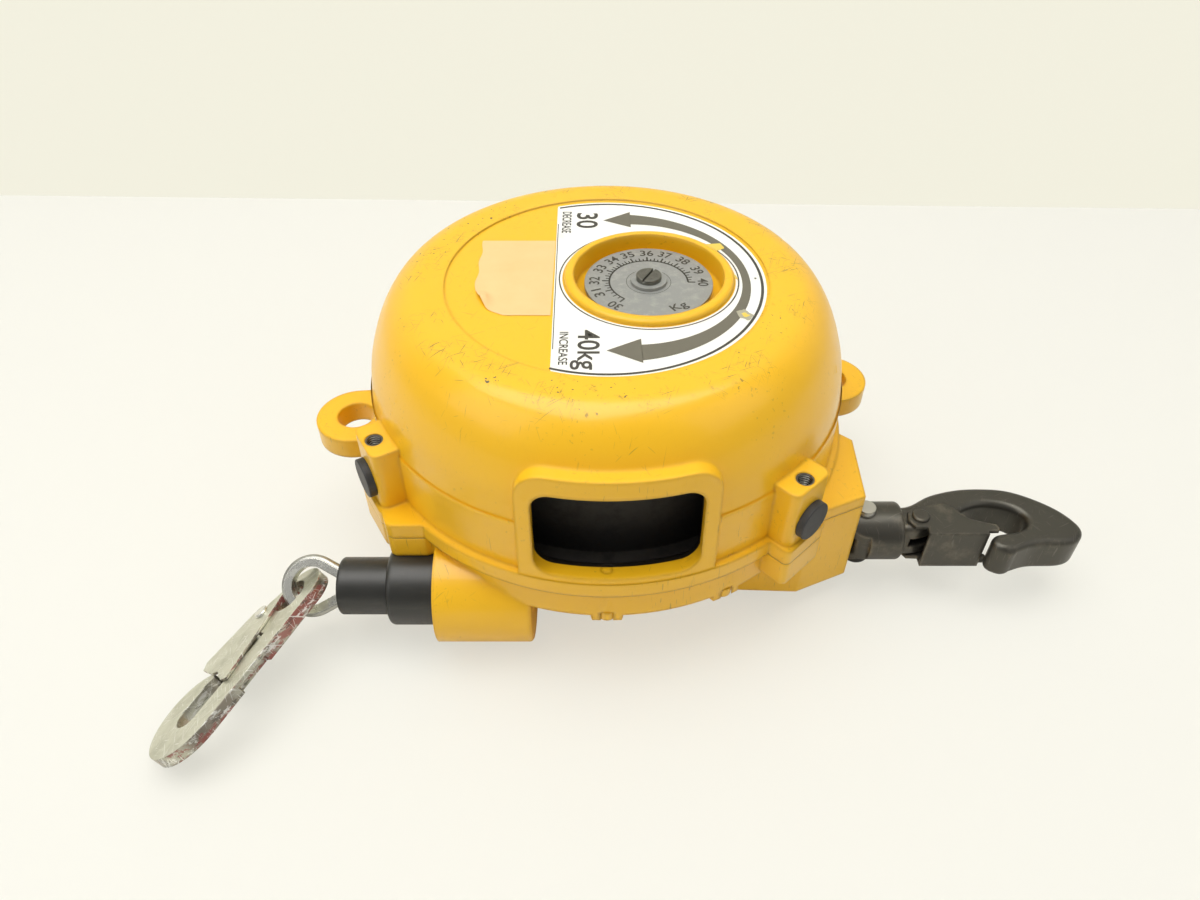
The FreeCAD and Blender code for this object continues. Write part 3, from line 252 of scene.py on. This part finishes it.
def yellow_paint():
    """Glossy enamel with soft edges, scuffs round the top of the shoulder, a dark parting line and near-black
    painted shade on the walls inside the case.
    """
    s = Shader("yellow_enamel", (0.86, 0.47, 0.012), roughness=0.34)
    tone = s.mix(s.noise(14, 3), (0.84, 0.460, 0.010), (0.89, 0.510, 0.014))
    radius = radius_from_axis(s)
    height = s.part("Z")
    crown = s.math("MULTIPLY", between(s, radius, 0.077, 0.095, 0.005), s.step(height, 0.128, 0.138))
    crown = s.math("ADD", s.math("MULTIPLY", crown, 0.95), 0.03)
    patches = s.step(s.noise(28, 3, rough=0.6), 0.50, 0.62)
    grime = s.math("MULTIPLY", s.step(s.noise(140, 6, rough=0.75), 0.56, 0.66), patches)
    tone = s.mix(s.math("MULTIPLY", grime, s.math("MULTIPLY", crown, 0.55)), tone, (0.20, 0.13, 0.035))
    lines = s.math("MULTIPLY", scratch_lines(s, 0.685), s.step(s.noise(35, 2), 0.48, 0.56))
    tone = s.mix(s.math("MULTIPLY", lines, s.math("MULTIPLY", crown, 0.75)), tone, (0.17, 0.11, 0.035))
    specks = s.math("MULTIPLY", s.step(s.noise(520, 2), 0.66, 0.69), s.step(s.noise(30, 2), 0.50, 0.60))
    tone = s.mix(s.math("MULTIPLY", specks, s.math("ADD", crown, 0.15)), tone, (0.045, 0.040, 0.030))
    stray = s.math("MULTIPLY", scratch_lines(s, 0.735), s.step(s.noise(12, 2), 0.52, 0.60))
    tone = s.mix(s.math("MULTIPLY", stray, 0.45), tone, (0.22, 0.13, 0.030))
    # painted shade: the walls inside the case are coloured near-black, as shade inside the closed case
    tone = s.mix(casing_inside_shade(s, radius, height), tone, (0.012, 0.010, 0.007))
    seam = between(s, height, PARTING - 0.00016, PARTING + 0.00016, 0.00008)
    facing = s.node("ShaderNodeTexCoord").outputs["Normal"]
    upright = s.math("ABSOLUTE", s.node("ShaderNodeSeparateXYZ", Vector=facing).outputs["Z"])
    seam = s.math("MULTIPLY", seam, s.math("SUBTRACT", 1.0, s.step(upright, 0.3, 0.5)))
    tone = s.mix(s.math("MULTIPLY", seam, 0.8), tone, (0.10, 0.060, 0.012))
    s.feed(s.bsdf.inputs["Base Color"], tone)
    rough = s.math("ADD", s.math("MULTIPLY", s.noise(60, 3), 0.14), 0.26)
    s.feed(s.bsdf.inputs["Roughness"], s.math("ADD", rough, s.math("MULTIPLY", grime, 0.3)))
    s.bsdf.inputs["Specular IOR Level"].default_value = 0.42
    s.bsdf.inputs["Coat Weight"].default_value = 0.25
    s.bsdf.inputs["Coat Roughness"].default_value = 0.12
    s.rounded(0.0026, s.noise(320, 3), 0.04, 0.0004)
    return s.mat


def metal(name, color, roughness, grime, amount, scale, metallic=1.0):
    """Metal with cloudy grime: its colour, how much of it and how fine it is."""
    s = Shader(name, color, metallic, roughness)
    patches = s.step(s.noise(scale, 5, rough=0.65), 0.45, 0.75)
    tone = s.mix(s.math("MULTIPLY", patches, amount), color, grime)
    s.feed(s.bsdf.inputs["Base Color"], tone)
    s.feed(s.bsdf.inputs["Roughness"], s.math("ADD", s.math("MULTIPLY", patches, 0.2), roughness))
    s.rounded(0.0006, s.noise(scale * 8, 3), 0.12, 0.0002)
    return s.mat


def distance_from(s, place):
    """Distance of the object-space place from a fixed one, in metres."""
    made = s.tree.nodes.new("ShaderNodeVectorMath")
    made.operation = "DISTANCE"
    s.feed(made.inputs[0], s.node("ShaderNodeTexCoord").outputs["Object"])
    made.inputs[1].default_value = place
    return made.outputs["Value"]


def zinc_hook():
    """Dull zinc plate with streaks, bright knocks and remnants of red paint on the cut edge."""
    s = Shader("zinc_hook", (0.62, 0.62, 0.54), 0.85, 0.34)
    cloud = s.step(s.noise(70, 5, rough=0.65), 0.40, 0.75)
    tone = s.mix(cloud, (0.62, 0.62, 0.51), (0.46, 0.46, 0.36))
    normal = s.node("ShaderNodeTexCoord").outputs["Normal"]
    across = s.tree.nodes.new("ShaderNodeVectorMath")
    across.operation = "DOT_PRODUCT"
    s.feed(across.inputs[0], normal)
    across.inputs[1].default_value = HOOK_FACE
    rim = s.math("SUBTRACT", 1.0, s.step(s.math("ABSOLUTE", across.outputs["Value"]), 0.25, 0.5))
    tone = s.mix(s.math("MULTIPLY", rim, s.step(s.noise(55, 3), 0.35, 0.60)), tone, (0.30, 0.27, 0.22))
    along = {"stretch": (0.3, 1, 1), "turn": (0, 0, HOOK_TURN)}
    outside = s.step(distance_from(s, HOOK_BOWL), 0.0160, 0.0180)
    red = s.step(s.noise(130, 5, rough=0.72, **along), 0.50, 0.56)
    red = s.math("MULTIPLY", s.math("MULTIPLY", rim, outside), red)
    tone = s.mix(s.math("MULTIPLY", red, 0.75), tone, (0.26, 0.035, 0.030))
    dark = s.math("MULTIPLY", rim, s.step(s.noise(190, 5, rough=0.75, **along), 0.55, 0.61))
    bright = s.math("MULTIPLY", rim, s.step(s.noise(240, 5, rough=0.75, **along), 0.56, 0.62))
    tone = s.mix(s.math("MULTIPLY", dark, 0.7), tone, (0.07, 0.065, 0.055))
    marks = s.math("MAXIMUM", scratch_lines(s, 0.69), bright)
    tone = s.mix(s.math("MULTIPLY", marks, 0.75), tone, (0.84, 0.84, 0.80))
    s.feed(s.bsdf.inputs["Base Color"], tone)
    paint = s.math("MAXIMUM", red, dark)
    s.feed(s.bsdf.inputs["Metallic"], s.math("SUBTRACT", 0.85, s.math("MULTIPLY", paint, 0.7)))
    s.rounded(0.0009, s.noise(240, 4), 0.10, 0.0002)
    return s.mat


def threaded(name):
    """Machined sleeve with thread rings in its bore, drawn as a bump and as painted shade in the thread roots
    between lighter crests.
    """
    s = Shader(name, (0.50, 0.49, 0.45), 1.0, 0.3)
    turns = s.math("SINE", s.math("MULTIPLY", s.part("Z"), 2 * math.pi / THREAD_PITCH))
    # painted shade: dark bands in the thread roots, lighter metal on the crests
    tone = s.mix(s.step(turns, -0.6, 0.6), (0.07, 0.065, 0.06), (0.60, 0.59, 0.55))
    s.feed(s.bsdf.inputs["Base Color"], tone)
    s.rounded(0.0004, turns, 0.6, 0.0004)
    return s.mat


def pin_finish():
    """Hanger pin: black head below, bright end above."""
    s = Shader("hanger_pin_finish", (0.04, 0.04, 0.04), 0.7, 0.38)
    upper = s.step(s.part("Z"), 0.046, 0.047)
    s.feed(s.bsdf.inputs["Base Color"], s.mix(upper, (0.035, 0.034, 0.031), (0.48, 0.47, 0.42)))
    s.rounded(0.0008, s.noise(300, 3), 0.1, 0.0002)
    return s.mat


def black_oxide():
    """Black finish of the hanger and hook, rubbed brown and bright on its rims."""
    s = Shader("black_oxide", (0.045, 0.043, 0.038), 0.7, 0.40)
    rub = s.math("MULTIPLY", s.edges(0.0022, 0.01, 0.10), s.step(s.noise(90, 4), 0.40, 0.62))
    stain = s.step(s.noise(45, 5, rough=0.7), 0.52, 0.72)
    tone = s.mix(stain, (0.078, 0.074, 0.062), (0.150, 0.135, 0.105))
    tone = s.mix(s.math("MULTIPLY", rub, 0.6), tone, (0.34, 0.29, 0.21))
    marks = s.math("MULTIPLY", scratch_lines(s, 0.73), 0.3)
    tone = s.mix(marks, tone, (0.25, 0.23, 0.19))
    s.feed(s.bsdf.inputs["Base Color"], tone)
    s.feed(s.bsdf.inputs["Roughness"], s.math("ADD", s.math("MULTIPLY", stain, 0.12), 0.33))
    s.rounded(0.0018, s.noise(260, 4), 0.12, 0.0003)
    return s.mat


def rubber():
    """Black rubber with a faint sheen, mould lines round it and dust."""
    s = Shader("black_rubber", (0.018, 0.018, 0.017), 0.0, 0.36)
    dust = s.step(s.noise(60, 5, stretch=(0.25, 1, 1), rough=0.7), 0.48, 0.80)
    fine = s.noise(40, 4, stretch=(30, 0.6, 0.6))
    tone = s.mix(s.math("MULTIPLY", dust, 0.5), (0.018, 0.018, 0.016), (0.10, 0.096, 0.076))
    s.feed(s.bsdf.inputs["Base Color"], tone)
    s.feed(s.bsdf.inputs["Roughness"], s.math("ADD", s.math("MULTIPLY", fine, 0.2), 0.28))
    s.bsdf.inputs["Specular IOR Level"].default_value = 0.6
    s.rounded(0.0012, fine, 0.10, 0.0003)
    return s.mat


def printed(name, color, roughness=0.55):
    """Ink, paper or plastic with a slightly uneven tone."""
    s = Shader(name, color, 0.0, roughness)
    s.feed(s.bsdf.inputs["Base Color"], s.mix(s.noise(180, 4), color, tuple(c * 0.86 for c in color)))
    return s.mat


YELLOW = yellow_paint()
BLACK = black_oxide()
ZINC = metal("zinc_plate", (0.74, 0.74, 0.69), 0.24, (0.36, 0.34, 0.28), 0.45, 80)
HOOK_ZINC = zinc_hook()
THREAD = threaded("threaded_sleeve_painted_shade")
SCREW_GREY = metal("dial_screw_grey", (0.20, 0.20, 0.18), 0.36, (0.08, 0.08, 0.07), 0.5, 120)
BRIGHT = metal("machined_steel", (0.55, 0.55, 0.54), 0.30, (0.18, 0.17, 0.15), 0.4, 90)
BLUED = metal("blued_strip", (0.10, 0.11, 0.15), 0.32, (0.05, 0.04, 0.03), 0.6, 50)
CAST = metal("cast_alloy", (0.50, 0.50, 0.50), 0.48, (0.22, 0.21, 0.20), 0.5, 70)
DARK_CAST = metal("dark_cast_drum", (0.030, 0.029, 0.028), 0.6, (0.012, 0.012, 0.012), 0.6, 70, metallic=0.4)
BRONZE = metal("sintered_bronze", (0.45, 0.28, 0.12), 0.42, (0.12, 0.07, 0.03), 0.5, 90)
DULL_BLACK = metal("plug_black", (0.040, 0.041, 0.044), 0.5, (0.10, 0.095, 0.09), 0.5, 120, metallic=0.35)
RUBBER = rubber()
NYLON = printed("nylon", (0.70, 0.70, 0.64), 0.45)
ROPE = metal("rope_wire", (0.46, 0.46, 0.43), 0.36, (0.14, 0.13, 0.11), 0.55, 150)

LOOKS = {
    "front_case": YELLOW, "rear_case": YELLOW, "case_screws": YELLOW, "block_inserts": THREAD,
    "side_plugs": DULL_BLACK, "rear_bush": BRONZE, "front_bush": BRONZE, "dial_bush": BRONZE,
    "rope_guide": NYLON, "worm_bushes": BRONZE, "hanger_link": BLACK, "cross_pin": BRIGHT,
    "arbor": BRIGHT, "worm_wheel": DARK_CAST, "arbor_spacer": BRIGHT, "arbor_nut": BLACK,
    "dial_pinion": BLACK, "bearing_inner_rings": BRIGHT, "worm": BLACK, "dial_gear": BLACK,
    "dial_screw": SCREW_GREY, "drum": DARK_CAST, "spring_cover": DARK_CAST, "cover_screws": BLACK,
    "bearing_outer_rings": BRIGHT, "bearing_balls": BRIGHT, "mainspring": BLUED, "rope_turns": ROPE,
    "rope_lead": ROPE, "ferrule": CAST, "bumper": RUBBER, "rope_eye": ROPE, "thimble": ZINC,
    "load_latch": HOOK_ZINC, "load_latch_rivet": ZINC, "load_latch_spring": BLUED, "load_hook": HOOK_ZINC,
    "hanger": BLACK, "hanger_pin": pin_finish(), "top_hook": BLACK, "swivel_head": BLACK, "top_latch": BLACK,
    "top_latch_rivet": BLACK, "top_latch_spring": BLUED,
}


def dial_grey():
    """Painted dial plate with fine bright wear."""
    s = Shader("dial_grey", (0.30, 0.31, 0.30), 0.35, 0.48)
    wear = s.step(s.noise(260, 5, rough=0.7), 0.45, 0.8)
    s.feed(s.bsdf.inputs["Base Color"], s.mix(wear, (0.31, 0.32, 0.31), (0.40, 0.41, 0.38)))
    s.rounded(0.0004)
    return s.mat


LOOKS["dial"] = dial_grey()
LOOKS["dial_collar"] = LOOKS["dial"]
for node, look in LOOKS.items():
    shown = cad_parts[node]
    shown.data.materials.clear()
    shown.data.materials.append(look)


# ---------------------------------------------------------------- decal on the front face
PANEL = 149.2                    # height of the recessed front panel, in millimetres
DECAL_Z = PANEL + 0.12
INK_Z = PANEL + 0.20
CUP = (19.6, 0.0)                # axis of the dial and its cup
DECAL_Y = -1.2                   # centre of the decal's rounded edge
DECAL_RADIUS = 73.8
LABEL = ("casing", "yellow_paint")
INK = printed("olive_ink", (0.150, 0.140, 0.105), 0.5)
PRINT = printed("print_black", (0.055, 0.052, 0.042), 0.5)


def decal_white():
    """White film with yellowish smears."""
    s = Shader("decal_white", (0.84, 0.84, 0.80), 0.0, 0.32)
    smear = s.step(s.noise(55, 5, rough=0.7), 0.55, 0.80)
    tone = s.mix(s.math("MULTIPLY", smear, 0.25), (0.86, 0.86, 0.82), (0.55, 0.52, 0.40))
    s.feed(s.bsdf.inputs["Base Color"], tone)
    return s.mat


WHITE = decal_white()


def left_edge(y):
    """Straight side of the decal, which leans a little."""
    return -24.3 - 0.0105 * y


def decal_reach(angle):
    """Distance from the cup centre to the decal's edge in one direction."""
    a = math.radians(angle)
    low, high = 0.0, 140.0
    for _ in range(40):
        middle = (low + high) / 2
        x = CUP[0] + middle * math.cos(a)
        y = CUP[1] + middle * math.sin(a)
        inside = math.hypot(x, y - DECAL_Y) < DECAL_RADIUS and x > left_edge(y)
        low, high = (middle, high) if inside else (low, middle)
    return low


def decal():
    """White field between the ring of the cup and the decal's edge."""
    inner, outer = [], []
    for k in range(361):
        a = math.radians(k)
        reach = decal_reach(k)
        inner.append((CUP[0] + 40.3 * math.cos(a), CUP[1] + 40.3 * math.sin(a)))
        outer.append((CUP[0] + reach * math.cos(a), CUP[1] + reach * math.sin(a)))
    verts, faces = strip(inner, outer, DECAL_Z)
    upward(piece("front_decal", verts, faces, WHITE, *LABEL))


def decal_lines():
    """Thin lines inside the rounded edge, round the cup and along the straight side."""
    outer = strip(arc(0, DECAL_Y, 71.2, -109.5, 109.5, 120), arc(0, DECAL_Y, 72.5, -109.5, 109.5, 120), INK_Z)
    inner = strip(arc(*CUP, 41.3, 0, 360, 120), arc(*CUP, 41.95, 0, 360, 120), INK_Z)
    side = strip([(left_edge(50) + 0.45, 50), (left_edge(-56) + 0.45, -56)],
                 [(left_edge(50) + 0.85, 50), (left_edge(-56) + 0.85, -56)], INK_Z)
    verts, faces = merge([outer, inner, side])
    upward(piece("decal_lines", verts, faces, PRINT, *LABEL))


def decal_arrow():
    """Crescent between two circles with a head at each end."""
    steps = 60
    outer, inner = [], []
    for k in range(steps + 1):
        t = k / steps
        a = math.radians(82.7 + (-80.5 - 82.7) * t)
        b = math.radians(89.2 + (-86.8 - 89.2) * t)
        outer.append((4.3 + 62.2 * math.cos(a), -2.3 + 62.2 * math.sin(a)))
        inner.append((11.5 + 51.2 * math.cos(b), -1.6 + 51.2 * math.sin(b)))
    band = strip(inner, outer, INK_Z)
    upper = ([(-1.5, 53.6, INK_Z), (12.4, 46.6, INK_Z), (12.2, 62.4, INK_Z)], [(0, 1, 2)])
    lower = ([(-0.4, -56.8, INK_Z), (14.4, -48.4, INK_Z), (14.8, -65.4, INK_Z)], [(0, 1, 2)])
    verts, faces = merge([band, upper, lower])
    upward(piece("decal_arrow", verts, faces, INK, *LABEL))


def chip(name, corners, mat, lift):
    """Small torn patch printed over the decal, with a ragged outline."""
    ragged = []
    for k, (x, y) in enumerate(corners):
        nx, ny = corners[(k + 1) % len(corners)]
        for step in range(4):
            share = step / 4
            ragged.append((x + (nx - x) * share + random.uniform(-0.35, 0.35),
                           y + (ny - y) * share + random.uniform(-0.35, 0.35), INK_Z + lift))
    upward(piece(name, ragged, [tuple(range(len(ragged)))], mat, *LABEL))


def decal_damage():
    """Torn places of the decal and one dark speck."""
    chip("torn_patch_back", [(45.8, 29.5), (47.8, 24.8), (50.8, 22.5), (57.7, 26.4), (55.7, 31.1)],
         PALE_YELLOW, 0.05)
    chip("torn_strip", [(52.5, 23.3), (56.6, 8.1), (60.2, 2.3), (60.8, -3.5), (58.6, 1.5), (54.3, 9.5)],
         PALE_YELLOW, 0.05)
    chip("torn_patch_front", [(57.5, -28), (61, -26.5), (65, -31), (62, -35), (58.5, -33)], WORN_PAPER, 0.05)
    chip("torn_heart", [(59.2, -29.5), (61.5, -29), (62.8, -31.5), (60.4, -32.6)], PALE_YELLOW, 0.10)
    chip("dark_dot", [(68.6, -0.5), (69.5, -0.6), (69.4, -1.5), (68.7, -1.4)], PRINT, 0.10)


PALE_YELLOW = printed("bare_patch_yellow", (0.80, 0.60, 0.10), 0.5)
WORN_PAPER = printed("worn_paper", (0.42, 0.40, 0.30), 0.7)
decal()
decal_lines()
decal_arrow()
decal_damage()
lettering("label_30", "30", (15.4, 10.9), (-9.6, 53.6), -90, INK_Z, PRINT, LABEL, 0.16)
lettering("label_decrease", "DECREASE", (21.5, 4.7), (-20.0, 51.8), -90, INK_Z, PRINT, LABEL, 0.12)
lettering("label_40kg", "40kg", (28.0, 12.5), (-9.4, -56.0), -90, INK_Z, PRINT, LABEL, 0.12)
lettering("label_increase", "INCREASE", (23.2, 3.9), (-18.6, -55.1), -90, INK_Z, PRINT, LABEL, 0.12)


# ---------------------------------------------------------------- window sill
SCREW_CIRCLE = 113.3
SCREW_RADIUS = 2.5
SILL = 75.0


def sill_skin():
    """Enamel that closes the end of the screw hole below the window."""
    ring = arc(0, -SCREW_CIRCLE, SCREW_RADIUS, 0, 345, 23)
    count = len(ring)
    verts = [(x, y, SILL - 0.95) for x, y in ring] + [(x, y, SILL) for x, y in ring]
    sides = [(k, (k + 1) % count, count + (k + 1) % count, count + k) for k in range(count)]
    lids = [tuple(reversed(range(count))), tuple(range(count, 2 * count))]
    piece("sill_skin", verts, sides + lids, YELLOW, *LABEL)


sill_skin()


# ---------------------------------------------------------------- dial print
DIAL_Z = 147.06
NUMBER_ANGLES = [231, 202, 178, 153.6, 132, 111.6, 90, 69.4, 47, 23, -1.2]


def dial_print():
    """Figures, unit, scale arc with its ticks and the ring round the collar."""
    owner = ("dial_group", "dial_grey")
    for k, angle in enumerate(NUMBER_ANGLES):
        a = math.radians(angle)
        spot = (CUP[0] + 25.4 * math.cos(a), CUP[1] + 25.4 * math.sin(a))
        lettering("dial_%d" % (30 + k), str(30 + k), (6.5, 5.0), spot, angle - 90, DIAL_Z, PRINT, owner, 0.14)
    lettering("dial_kg", "Kg", (8.0, 6.4), (CUP[0] + 13.2, -20.9), 32.3, DIAL_Z, PRINT, owner, 0.12)
    rings = [strip(arc(*CUP, 18.0, NUMBER_ANGLES[-1], NUMBER_ANGLES[0], 90),
                   arc(*CUP, 18.8, NUMBER_ANGLES[-1], NUMBER_ANGLES[0], 90), DIAL_Z),
             strip(arc(*CUP, 10.3, 0, 360, 60), arc(*CUP, 10.5, 0, 360, 60), DIAL_Z)]
    for k in range(10):
        start, end = NUMBER_ANGLES[k], NUMBER_ANGLES[k + 1]
        for j in range(4):
            reach = 21.8 if j == 0 else (20.9 if j == 2 else 20.2)
            rings.append(tick(start + (end - start) * j / 4, reach, 0.85 if j == 0 else 0.6))
    rings.append(tick(NUMBER_ANGLES[-1], 21.8, 0.85))
    verts, faces = merge(rings)
    upward(piece("dial_scale", verts, faces, PRINT, "dial_group", "dial_grey"))


def tick(angle, reach, width):
    """Radial mark from the scale arc out to a radius."""
    a = math.radians(angle)
    along = Vector((math.cos(a), math.sin(a)))
    side = Vector((-along.y, along.x)) * width / 2
    centre = Vector(CUP)
    lower = [tuple(centre + along * 18.3 - side), tuple(centre + along * reach - side)]
    upper = [tuple(centre + along * 18.3 + side), tuple(centre + along * reach + side)]
    return strip(lower, upper, DIAL_Z)


dial_print()


# ---------------------------------------------------------------- paper tape
def tape_paper():
    """Tan masking paper, mottled and slightly creased."""
    s = Shader("tan_tape", (0.86, 0.56, 0.27), 0.0, 0.75)
    tone = s.mix(s.noise(60, 5, rough=0.6), (0.88, 0.58, 0.28), (0.80, 0.49, 0.21))
    s.feed(s.bsdf.inputs["Base Color"], tone)
    s.rounded(0.0002, s.noise(90, 4), 0.25, 0.0004)
    return s.mat


def tape():
    """Blank paper patch with a rounded, lifted corner."""
    columns, rows = 36, 60
    left, right, low, high = -60.4, -25.0, -31.0, 33.3
    verts, faces = [], []
    for j in range(rows + 1):
        v = j / rows
        y = low + (high - low) * v
        cut = max(0.0, (-14.0 - y) / 17.0)
        start = left + 14.0 * cut ** 2.2 + 0.5 * math.sin(y * 0.35)
        for k in range(columns + 1):
            x = start + (right - start) * k / columns
            near_edge = max(0.0, min(1.0, (-50.0 - x) / 6.0))
            lift = max(0.0, 8.0 - math.hypot(x + 58.0, y + 20.0) * 0.9) * near_edge
            verts.append((x + lift * 0.3, y + lift * 0.25, DECAL_Z + 0.1 + lift * 0.30))
    for j in range(rows):
        for k in range(columns):
            a = j * (columns + 1) + k
            faces.append((a, a + 1, a + columns + 2, a + columns + 1))
    piece("paper_tape", verts, faces, tape_paper(), *LABEL, True)


tape()


# ---------------------------------------------------------------- floor, wall, light, camera
def plain(name, color, seen, glow):
    """Pale studio surface, lighter to the camera than to the object and clear from its back."""
    s = Shader(name, color, 0.0, 0.7)
    light = s.node("ShaderNodeEmission", Color=(*seen, 1), Strength=1.0)
    path = s.node("ShaderNodeLightPath")
    share = s.math("MULTIPLY", path.outputs["Is Camera Ray"], glow)
    both = s.tree.nodes.new("ShaderNodeMixShader")
    s.feed(both.inputs[0], share)
    s.feed(both.inputs[1], s.bsdf.outputs[0])
    s.feed(both.inputs[2], light.outputs[0])
    clear = s.node("ShaderNodeBsdfTransparent")
    behind = s.math("MULTIPLY", s.node("ShaderNodeNewGeometry").outputs["Backfacing"],
                    path.outputs["Is Camera Ray"])
    sided = s.tree.nodes.new("ShaderNodeMixShader")
    s.feed(sided.inputs[0], behind)
    s.feed(sided.inputs[1], both.outputs[0])
    s.feed(sided.inputs[2], clear.outputs[0])
    out = s.tree.nodes["Material Output"]
    s.feed(out.inputs["Surface"], sided.outputs[0])
    return s.mat


def stage_plane(name, corners, mat):
    """Flat studio surface through four corners, in metres."""
    mesh = bpy.data.meshes.new(name)
    mesh.from_pydata(corners, [], [(0, 1, 2, 3)])
    obj = bpy.data.objects.new(name, mesh)
    bpy.context.scene.collection.objects.link(obj)
    mesh.materials.append(mat)
    return obj


FLOOR_WHITE = plain("table_white", (0.80, 0.79, 0.74), (0.94, 0.93, 0.85), 0.62)
WALL_WHITE = plain("wall_white", (0.78, 0.77, 0.70), (0.915, 0.895, 0.76), 0.92)
REACH = 2.5
WALL_LEFT = 0.42                 # the backdrop stands a little askew
WALL_RIGHT = 0.30
WALL_HEIGHT = 2.2
stage_plane("table", [(-REACH, -REACH, 0), (REACH, -REACH, 0), (REACH, WALL_RIGHT, 0),
                      (-REACH, WALL_LEFT, 0)], FLOOR_WHITE)
stage_plane("table_behind", [(-REACH, WALL_LEFT, 0), (REACH, WALL_RIGHT, 0), (REACH, REACH, 0),
                             (-REACH, REACH, 0)], FLOOR_WHITE)
stage_plane("backdrop", [(-REACH, WALL_LEFT, 0), (REACH, WALL_RIGHT, 0), (REACH, WALL_RIGHT, WALL_HEIGHT),
                         (-REACH, WALL_LEFT, WALL_HEIGHT)], WALL_WHITE)


def softbox(name, place, target, width, height, power):
    """Rectangular area light that faces a target."""
    data = bpy.data.lights.new(name, "AREA")
    data.shape = "RECTANGLE"
    data.size = width
    data.size_y = height
    data.energy = power
    data.color = (1.0, 0.985, 0.95)
    obj = bpy.data.objects.new(name, data)
    bpy.context.scene.collection.objects.link(obj)
    obj.location = place
    obj.rotation_euler = (Vector(target) - Vector(place)).to_track_quat("-Z", "Y").to_euler()
    return obj


softbox("top_light", (-0.1, 0.1, 1.6), (0, 0, 0.1), 1.8, 1.4, 32)
softbox("left_light", (-1.2, -0.7, 1.0), (0, 0, 0.1), 1.0, 1.0, 5)
softbox("right_light", (1.2, -0.6, 1.0), (0, 0, 0.1), 1.0, 1.0, 3)

world = bpy.data.worlds.new("studio")
bpy.context.scene.world = world
world.use_nodes = True
world.node_tree.nodes["Background"].inputs["Color"].default_value = (1.0, 0.99, 0.96, 1)
world.node_tree.nodes["Background"].inputs["Strength"].default_value = 0.28

camera_data = bpy.data.cameras.new("camera")
camera_data.lens = 27
camera_data.sensor_width = 36
camera = bpy.data.objects.new("camera", camera_data)
bpy.context.scene.collection.objects.link(camera)
camera.location = (-0.00313, -0.36182, 0.37589)
camera.rotation_euler = (math.radians(47.09), math.radians(0.0), 0.0)
bpy.context.scene.camera = camera
bpy.context.scene.render.resolution_x = 1200
bpy.context.scene.render.resolution_y = 900
bpy.context.scene.view_settings.view_transform = "Standard"
